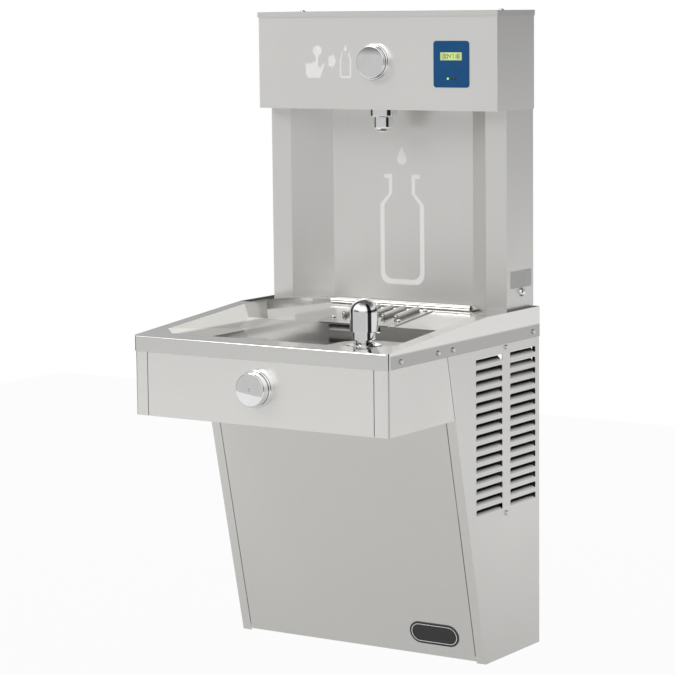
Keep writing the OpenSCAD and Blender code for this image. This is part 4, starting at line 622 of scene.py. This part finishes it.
NODE_FINISH = {
    "satin_stainless": [
        "access_panel", "left_column", "right_column", "alcove_liner", "head_lid"],
    "louvred_steel": ["left_side_panel", "right_side_panel"],
    "satin_across": ["apron_wrap", "apron_front_plate", "head_cover"],
    "basin_steel": ["basin"],
    "polished_steel": ["drain_plate"],
    "galvanised_sheet": ["wall_hanger", "back_panel", "base_pan", "tower_back_plate",
                         "bubbler_nut", "control_box"],
    "chrome_trim": [
        "bubbler_base", "bubbler_hood", "drain_plate_screws", "lid_screws", "column_lock",
        "nozzle_nut", "nozzle_spout", "filler_bezel", "filler_cap", "bubbler_bezel",
        "bubbler_cap", "waste_pipe", "fan_shaft"],
    "screw_steel": ["panel_screws"],
    "spring_steel": ["filler_spring", "bubbler_spring"],
    "tank_steel": ["cooling_tank"],
    "motor_steel": ["fan_motor"],
    "condenser_fins": ["condenser"],
    "copper_tube": ["refrigerant_lines"],
    "brass_fitting": ["inlet_fitting"],
    "black_enamel": ["compressor", "fan_shroud"],
    "black_plate": ["access_panel_plate"],
    "black_plastic": ["filler_switch", "thermostat_knob", "fan_blades"],
    "white_plastic": ["filler_valve", "bubbler_valve", "filter_head"],
    "cartridge_plastic": ["filter_cartridge"],
    "clear_hose": ["water_lines"],
    "grey_foam": ["tank_insulation", "insulation_lid"],
    "dark_rubber": ["compressor_grommets"],
    "white_print": ["alcove_inlay", "head_pictograms"],
    "blue_lens": ["display_lens"],
    "counter_window": ["display_window"],
    "lamp_plastic": ["status_lamps"],
    "circuit_board": ["display_board"],
    "bare_plate": ["column_plate"],
}
FINISHES = {}


def cover_nodes(slots):
    """Gives the solids of these slots their finish."""
    if not FINISHES:
        FINISHES.update(make_finishes(bpy.context.scene.station_colours))
    for slot in slots:
        for name in NODE_FINISH[slot]:
            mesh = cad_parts[name].data
            mesh.materials.clear()
            mesh.materials.append(FINISHES[slot])


# Surfaces

def mesh_object(name, points, faces, finish, body, smooth=True):
    """Object at the origin from an array of points and a list of faces, riding on a body."""
    mesh = bpy.data.meshes.new(name)
    mesh.from_pydata(points.tolist(), [], faces)
    mesh.validate()
    mesh.update()
    mesh.polygons.foreach_set("use_smooth", np.full(len(mesh.polygons), smooth))
    mesh.set_sharp_from_angle(angle=math.radians(40))
    mesh.materials.append(FINISHES[finish])
    made = bpy.data.objects.new(name, mesh)
    bpy.context.scene.collection.objects.link(made)
    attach(made, body)
    return made


def oval_ring(low, high, inset, width, thick):
    """Flat ring on a racetrack: the path runs round two half circles joined by straight sides,
    and a small rectangle is carried along it, square to the path."""
    half_w, half_h = (high - low)[[0, 2]] / 2 - inset
    turn = np.linspace(0, 2 * np.pi, 96, endpoint=False)
    side = np.sign(np.cos(turn)) * (half_w - half_h)
    out = np.stack([np.cos(turn), np.sin(turn)], 1)
    section = np.array([(0, 0), (0, 1), (-1, 1), (-1, 0)])
    reach = half_h + section[:, 0] * width
    ring = out[:, None, :] * reach[None, :, None] + np.stack([side, side * 0], 1)[:, None, :]
    lift = np.broadcast_to(section[:, 1] * thick, ring.shape[:2])
    points = np.stack([ring[..., 0], lift, ring[..., 1]], 2).reshape(-1, 3)
    return points, strip_faces(len(turn), len(section))


def turned(profile, around):
    """Surface of revolution about the y axis: each (radius, depth) point of the profile is
    carried round a full circle, and the first and last points close it on the axis."""
    turn = np.linspace(0, 2 * np.pi, around, endpoint=False)
    radius, depth = profile[1:-1].T
    rings = np.stack([np.outer(radius, np.cos(turn)), np.repeat(depth[:, None], around, 1),
                      np.outer(radius, np.sin(turn))], 2).reshape(-1, 3)
    points = np.concatenate([[(0, profile[0, 1], 0)], rings, [(0, profile[-1, 1], 0)]])
    i, j = np.meshgrid(np.arange(len(radius) - 1), np.arange(around), indexing="ij")
    beside = (j + 1) % around
    quads = 1 + np.stack([i * around + j, (i + 1) * around + j, (i + 1) * around + beside,
                          i * around + beside], 2).reshape(-1, 4)
    step = np.arange(around)
    after = (step + 1) % around
    last = 1 + (len(radius) - 1) * around
    front = np.stack([step * 0, 1 + step, 1 + after], 1)
    back = np.stack([step * 0 + len(points) - 1, last + after, last + step], 1)
    return points, [*front.tolist(), *quads.tolist(), *back.tolist()]


def button_profile(radius, length, sizes, pip):
    """Half section of a push button, front to back: a shallow crown whose depth grows with the
    square of the radius, a rounded edge, the side, the stem and its collar."""
    edge, crown = sizes.button_edge, sizes.button_crown
    side = length - sizes.stem_length
    face = np.linspace(pip, radius - edge, 28)
    face = np.column_stack([face, crown * (face / radius) ** 2])
    turn = np.linspace(0, np.pi / 2, 9)
    bend = np.column_stack([radius - edge + edge * np.sin(turn),
                            face[-1, 1] + edge - edge * np.cos(turn)])
    start = [(0, sizes.pip_depth), (pip, sizes.pip_depth)] if pip else [(0, 0)]
    face = face if pip else face[1:]
    collar = length - sizes.collar_place
    collar_end = collar + sizes.collar_width
    tail = [(radius, side), (sizes.stem_radius, side), (sizes.stem_radius, collar),
            (sizes.collar_radius, collar), (sizes.collar_radius, collar_end),
            (sizes.stem_radius, collar_end), (sizes.stem_radius, length), (0, length)]
    return np.concatenate([start, face, bend[1:], tail])


def strip_faces(around, across):
    """Four-sided faces of a closed tube of points, in rings of one section after another."""
    i, j = np.meshgrid(np.arange(around), np.arange(across), indexing="ij")
    following, beside = (i + 1) % around, (j + 1) % across
    return np.stack([i * across + j, i * across + beside, following * across + beside,
                     following * across + j], 2).reshape(-1, 4).tolist()


SEGMENTS = {"0": "abcdef", "1": "bc", "2": "abged", "3": "abgcd", "4": "fgbc", "5": "afgcd",
            "6": "afgedc", "7": "abc", "8": "abcdefg", "9": "abcdfg"}
SEGMENT_ENDS = {"a": (0, 2, 1, 2), "b": (1, 2, 1, 1), "c": (1, 1, 1, 0), "d": (0, 0, 1, 0),
                "e": (0, 0, 0, 1), "f": (0, 1, 0, 2), "g": (0, 1, 1, 1)}


def digit_bars(text, height, width, pitch, bar, thick):
    """Bars of a seven-bar number: each is a six-sided strip from one corner of the digit's
    two-by-one grid to another, tapered at both ends, given a front and a back face."""
    ends = np.array([[i * pitch + SEGMENT_ENDS[s][0] * width, SEGMENT_ENDS[s][1] * height / 2,
                      i * pitch + SEGMENT_ENDS[s][2] * width, SEGMENT_ENDS[s][3] * height / 2]
                     for i, digit in enumerate(text) for s in SEGMENTS[digit]])
    start, end = ends[:, :2], ends[:, 2:]
    along = (end - start) / np.linalg.norm(end - start, axis=1, keepdims=True)
    across = np.stack([-along[:, 1], along[:, 0]], 1)
    a, b = start + along * bar * 0.6, end - along * bar * 0.6
    half = across * bar / 2
    step = along * bar / 2
    rim = np.stack([a - half, b - half, b + step, b + half, a + half, a - step], 1)
    flat = rim.reshape(-1, 2)
    count = len(rim)
    front = np.column_stack([flat[:, 0], np.full(len(flat), -thick), flat[:, 1]])
    back = np.column_stack([flat[:, 0], np.zeros(len(flat)), flat[:, 1]])
    points = np.concatenate([front, back])
    base = np.arange(count)[:, None] * 6
    ring = np.arange(6)[None, :]
    top = base + ring
    bottom = (base + ring[:, ::-1]) + count * 6
    following = (ring + 1) % 6
    sides = np.stack([base + ring, base + ring + count * 6, base + following + count * 6,
                      base + following], 2).reshape(-1, 4)
    return points, [*top.tolist(), *bottom.tolist(), *sides.tolist()]


def plate_outward(corners):
    """Direction in which a flat plate faces: the one along which its points spread least,
    turned to the front."""
    apart = corners - corners.mean(0)
    least = np.linalg.eigh(apart.T @ apart)[1][:, 0]
    return least if least[1] < 0 else -least


class STATION_OT_sheet_metal(bpy.types.Operator):
    """Finish the cabinet, apron, basin and tower sheets"""
    bl_idname = "station.sheet_metal"
    bl_label = "Finish sheet metal"

    def execute(self, context):
        cover_nodes(["satin_stainless", "satin_across", "louvred_steel", "basin_steel",
                     "polished_steel", "galvanised_sheet"])
        return {"FINISHED"}


class STATION_OT_trim(bpy.types.Operator):
    """Finish the bubbler, nozzle, bezels, screws and plates"""
    bl_idname = "station.trim"
    bl_label = "Finish trim"

    def execute(self, context):
        cover_nodes(["chrome_trim", "screw_steel", "black_plate", "bare_plate", "white_print"])
        return {"FINISHED"}


class STATION_OT_ring_line(bpy.types.Operator):
    """Make the pale ring line on the oval plate"""
    bl_idname = "station.ring_line"
    bl_label = "Make the ring line"

    def execute(self, context):
        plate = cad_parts["access_panel_plate"].data
        corners = np.empty(len(plate.vertices) * 3)
        plate.vertices.foreach_get("co", corners)
        corners = corners.reshape(-1, 3)
        out = plate_outward(corners)
        middle = (corners.min(0) + corners.max(0)) / 2
        side = np.array([1.0, 0, 0])
        rise = np.cross(side, out)
        rise = rise if rise[2] > 0 else -rise
        local = np.stack([(corners - middle) @ side, (corners - middle) @ out,
                          (corners - middle) @ rise], 1)
        points, faces = oval_ring(local.min(0), local.max(0), inset=0.0032, width=0.0011,
                                  thick=0.0001)
        points[:, 1] += local[:, 1].max()
        placed = middle + points @ np.stack([side, out, rise])
        mesh_object("plate_ring_line", placed, faces, "white_print", "station", False)
        return {"FINISHED"}


class STATION_OT_buttons(bpy.types.Operator):
    """Make the turned caps of the two push buttons"""
    bl_idname = "station.buttons"
    bl_label = "Make the button caps"

    def execute(self, context):
        sizes = context.scene.station_sizes
        for node, body, pip in (("bubbler_cap", "bubbler_button", sizes.pip_radius),
                                ("filler_cap", "filler_button", 0.0)):
            low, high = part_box(node)
            profile = button_profile((high.x - low.x) / 2, high.y - low.y, sizes, pip)
            points, faces = turned(profile, sizes.around)
            centre = np.array([(low.x + high.x) / 2, low.y, (low.z + high.z) / 2])
            made = mesh_object(f"{node}_turned", points + centre, faces, "chrome_trim", body)
            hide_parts(node)
        return {"FINISHED"}


class STATION_OT_works(bpy.types.Operator):
    """Finish the cooling works, valves, hoses and the controls inside"""
    bl_idname = "station.works"
    bl_label = "Finish the works inside"

    def execute(self, context):
        cover_nodes(["spring_steel", "tank_steel", "motor_steel", "condenser_fins",
                     "copper_tube", "brass_fitting", "black_enamel", "black_plastic",
                     "white_plastic", "cartridge_plastic", "clear_hose", "grey_foam",
                     "dark_rubber", "circuit_board"])
        return {"FINISHED"}


class STATION_OT_display(bpy.types.Operator):
    """Finish the display and set the counter's digits"""
    bl_idname = "station.display"
    bl_label = "Make the display"

    def execute(self, context):
        cover_nodes(["blue_lens", "counter_window", "lamp_plastic"])
        FINISHES["digit_ink"] = coated("digit_ink", (0.06, 0.10, 0.02), 0.4, 2000, 0.000002,
                                       dust=0.0)
        sizes = context.scene.station_sizes
        low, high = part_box("display_window")
        height = sizes.digit_height
        pitch = height * 0.82
        text = sizes.digits
        width = height * 0.5
        points, faces = digit_bars(text, height, width, pitch, bar=height * 0.14,
                                   thick=0.00015)
        span = pitch * (len(text) - 1) + width
        shift = np.array([(low.x + high.x - span) / 2, low.y + 0.00002,
                          (low.z + high.z - height) / 2])
        mesh_object("counter_digits", points + shift, faces, "digit_ink", "station", False)
        return {"FINISHED"}


class STATION_OT_stage(bpy.types.Operator):
    """Set the floor, the soft studio light and the photograph's camera"""
    bl_idname = "station.stage"
    bl_label = "Set the stage"

    def execute(self, context):
        lay_floor(context.scene)
        light_the_studio(context.scene)
        place_camera(context.scene)
        return {"FINISHED"}


def lay_floor(scene):
    """Plain pale floor, lighter outwards: its darker colour and weaker glow near the middle are
    painted shade of the object. The camera sees it nearly white and reflections see it glow, but
    in diffuse light it only gives back what falls on it."""
    floor_z = SOLID_BOX[0][2] - scene.station_sizes.floor_drop
    reach = 4.2
    mesh = bpy.data.meshes.new("floor")
    mesh.from_pydata([(-reach, -reach, floor_z), (reach, -reach, floor_z),
                      (reach, reach, floor_z), (-reach, reach, floor_z)], [], [(0, 1, 2, 3)])
    material, tree, shader = new_finish("pale_floor", roughness=0.9)
    away = add_node(tree, "ShaderNodeVectorMath", operation="LENGTH")
    tree.links.new(add_node(tree, "ShaderNodeTexCoord").outputs["Object"], away.inputs[0])
    # Painted shade of the object: the floor's colour darkens towards the middle.
    tree.links.new(blend_colours(
        tree, spread(tree, away.outputs["Value"], 1.2, 4.0, 0, 1), (0.56, 0.56, 0.55),
        (0.88, 0.88, 0.87)), shader.inputs["Base Color"])
    glow = add_node(tree, "ShaderNodeEmission")
    glow.inputs["Color"].default_value = (1, 1, 1, 1)
    path = add_node(tree, "ShaderNodeLightPath")
    seen = path.outputs["Is Camera Ray"]
    mixed = add_node(tree, "ShaderNodeMixShader")
    # Painted shade of the object in reflections: the glow is weaker near the middle.
    lit = reckon(tree, "MULTIPLY", path.outputs["Is Glossy Ray"],
                 spread(tree, away.outputs["Value"], 1.0, 3.5, 0.25, 0.78))
    tree.links.new(reckon(tree, "MAXIMUM", lit, reckon(tree, "MULTIPLY", seen, 0.95)),
                   mixed.inputs[0])
    tree.links.new(shader.outputs[0], mixed.inputs[1])
    tree.links.new(glow.outputs[0], mixed.inputs[2])
    tree.links.new(mixed.outputs[0], tree.nodes["Material Output"].inputs["Surface"])
    mesh.materials.append(material)
    floor = bpy.data.objects.new("floor", mesh)
    scene.collection.objects.link(floor)


# Level of the studio by the height of the direction, in front of the object and behind it
FRONT_LEVELS = ((-0.5, 0.60), (0.08, 0.62), (0.30, 1.20), (0.60, 1.40), (0.80, 0.95), (0.93, 0.3),
                (1.0, 0.20))
REAR_LEVELS = ((-0.25, 0.92), (-0.10, 0.80), (-0.02, 0.42), (0.03, 0.05), (0.20, 0.05),
               (0.26, 0.72), (0.45, 0.75), (0.58, 0.30), (0.75, 0.12), (1.0, 0.10))
# Dark screens: azimuth, half width, lowest and highest elevation in degrees, share that is left
SCREENS = ((-12, 17, -60, 70, 0.03), (182, 18, -60, 88, 0.08), (-123, 24, 4, 15, 0.22))


# Direction towards the front levels, and the key lamp
FRONT_SIDE = (-0.55, -0.835, 0)
LAMP_PLACE, LAMP_AIM = Vector((-1.6, -2.6, 2.4)), Vector((0, -0.2, 0.1))
LAMP_WIDTH, LAMP_WATTS = 1.6, 26


def level_ramp(tree, height, levels):
    """Level read from (height, level) pairs, joined by straight lines, between -1 and 1."""
    ramp = add_node(tree, "ShaderNodeValToRGB")
    tree.links.new(spread(tree, height, -1, 1, 0, 1), ramp.inputs[0])
    stops = ramp.color_ramp.elements
    while len(stops) > 1:
        stops.remove(stops[-1])
    for i, (place, level) in enumerate(levels):
        stop = stops[0] if i == 0 else stops.new((place + 1) / 2)
        stop.position = (place + 1) / 2
        stop.color = (level / 2, level / 2, level / 2, 1)
    return reckon(tree, "MULTIPLY", ramp.outputs[0], 2)


def light_the_studio(scene):
    """World with a slow change of level round the object and three dark screens, which the
    camera itself sees as plain white, and a soft lamp overhead."""
    world = bpy.data.worlds.new("studio")
    world.use_nodes = True
    tree = world.node_tree
    tree.nodes.clear()
    out = add_node(tree, "ShaderNodeOutputWorld")
    towards = add_node(tree, "ShaderNodeTexCoord").outputs["Generated"]
    parts = add_node(tree, "ShaderNodeSeparateXYZ")
    tree.links.new(towards, parts.inputs[0])
    lean = add_node(tree, "ShaderNodeVectorMath", operation="DOT_PRODUCT")
    tree.links.new(towards, lean.inputs[0])
    lean.inputs[1].default_value = FRONT_SIDE
    behind = spread(tree, lean.outputs["Value"], 0.25, -0.30, 0, 1)
    front = level_ramp(tree, parts.outputs["Z"], FRONT_LEVELS)
    rear = level_ramp(tree, parts.outputs["Z"], REAR_LEVELS)
    by_side = add_node(tree, "ShaderNodeMix", data_type="FLOAT")
    for socket, value in ((0, behind), (2, front), (3, rear)):
        tree.links.new(value, by_side.inputs[socket])
    level = by_side.outputs[0]
    azimuth = reckon(tree, "ARCTAN2", parts.outputs["Y"], parts.outputs["X"])
    for middle, half, low, high, left in SCREENS:
        turn = reckon(tree, "WRAP", reckon(tree, "SUBTRACT", azimuth, math.radians(middle)),
                      math.pi)
        turn.node.inputs[2].default_value = -math.pi
        across = spread(tree, reckon(tree, "ABSOLUTE", turn), math.radians(half - 3),
                        math.radians(half + 3), 1, 0)
        above = spread(tree, parts.outputs["Z"], math.sin(math.radians(low - 2)),
                       math.sin(math.radians(low + 2)), 0, 1)
        below = spread(tree, parts.outputs["Z"], math.sin(math.radians(high - 3)),
                       math.sin(math.radians(high + 3)), 1, 0)
        inside = reckon(tree, "MULTIPLY", across, reckon(tree, "MULTIPLY", above, below))
        level = reckon(tree, "MULTIPLY", level, spread(tree, inside, 0, 1, 1, left))
    seen = add_node(tree, "ShaderNodeLightPath").outputs["Is Camera Ray"]
    shade = add_node(tree, "ShaderNodeMix", data_type="FLOAT")
    tree.links.new(seen, shade.inputs[0])
    tree.links.new(level, shade.inputs[2])
    shade.inputs[3].default_value = 1
    back = add_node(tree, "ShaderNodeBackground")
    back.inputs["Color"].default_value = (1, 1, 1, 1)
    tree.links.new(shade.outputs[0], back.inputs["Strength"])
    tree.links.new(back.outputs[0], out.inputs["Surface"])
    scene.world = world
    lamp = bpy.data.lights.new("key_lamp", "AREA")
    lamp.shape = "DISK"
    lamp.size = LAMP_WIDTH
    lamp.energy = LAMP_WATTS
    made = bpy.data.objects.new("key_lamp", lamp)
    scene.collection.objects.link(made)
    made.matrix_world = Matrix.Translation(LAMP_PLACE) @ (
        LAMP_AIM - LAMP_PLACE).to_track_quat("-Z", "Y").to_matrix().to_4x4()


def place_camera(scene):
    """Camera where the photograph's stood, turned by yaw, then pitch, then roll."""
    view = scene.station_view
    camera = bpy.data.cameras.new("photo_camera")
    camera.sensor_width = 36
    camera.lens = view.lens
    camera.clip_end = 60
    made = bpy.data.objects.new("photo_camera", camera)
    scene.collection.objects.link(made)
    ahead = Vector((-math.sin(view.yaw) * math.cos(view.pitch),
                    math.cos(view.yaw) * math.cos(view.pitch), math.sin(view.pitch)))
    right = Vector((math.cos(view.yaw), math.sin(view.yaw), 0))
    up = right.cross(ahead)
    turned_right = right * math.cos(view.roll) + up * math.sin(view.roll)
    turned_up = up * math.cos(view.roll) - right * math.sin(view.roll)
    made.matrix_world = Matrix.Translation(view.place) @ Matrix(
        (turned_right, turned_up, -ahead)).transposed().to_4x4()
    scene.camera = made
    scene.view_settings.view_transform = "Standard"


class STATION_PT_panel(bpy.types.Panel):
    """Lists the steps and the values of the station"""
    bl_label = "Filling station"
    bl_idname = "STATION_PT_panel"
    bl_space_type = "VIEW_3D"
    bl_region_type = "UI"
    bl_category = "Station"

    def draw(self, context):
        for step in STEPS:
            self.layout.operator(step.bl_idname)
        for holder in ("station_colours", "station_sizes", "station_view"):
            group = getattr(context.scene, holder)
            for name in group.bl_rna.properties.keys():
                if name not in ("rna_type", "name"):
                    self.layout.prop(group, name)


STEPS = (STATION_OT_stage, STATION_OT_sheet_metal, STATION_OT_trim, STATION_OT_ring_line,
         STATION_OT_buttons, STATION_OT_works, STATION_OT_display)
HOLDERS = (("station_colours", StationColours), ("station_sizes", StationSizes),
           ("station_view", StationView))


def register():
    for holder, group in HOLDERS:
        bpy.utils.register_class(group)
        setattr(bpy.types.Scene, holder, bpy.props.PointerProperty(type=group))
    for step in STEPS:
        bpy.utils.register_class(step)
    bpy.utils.register_class(STATION_PT_panel)


def unregister():
    bpy.utils.unregister_class(STATION_PT_panel)
    for step in reversed(STEPS):
        bpy.utils.unregister_class(step)
    for holder, group in reversed(HOLDERS):
        delattr(bpy.types.Scene, holder)
        bpy.utils.unregister_class(group)


def main():
    register()
    for step in STEPS:
        area, name = step.bl_idname.split(".")
        if getattr(getattr(bpy.ops, area), name)() != {"FINISHED"}:
            raise RuntimeError(f"{step.bl_label} did not finish")
    covered = {name for names in NODE_FINISH.values() for name in names}
    bare = sorted(set(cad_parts) - covered)
    if bare:
        raise RuntimeError(f"no finish for {bare}")


if __name__ == "__main__":
    main()
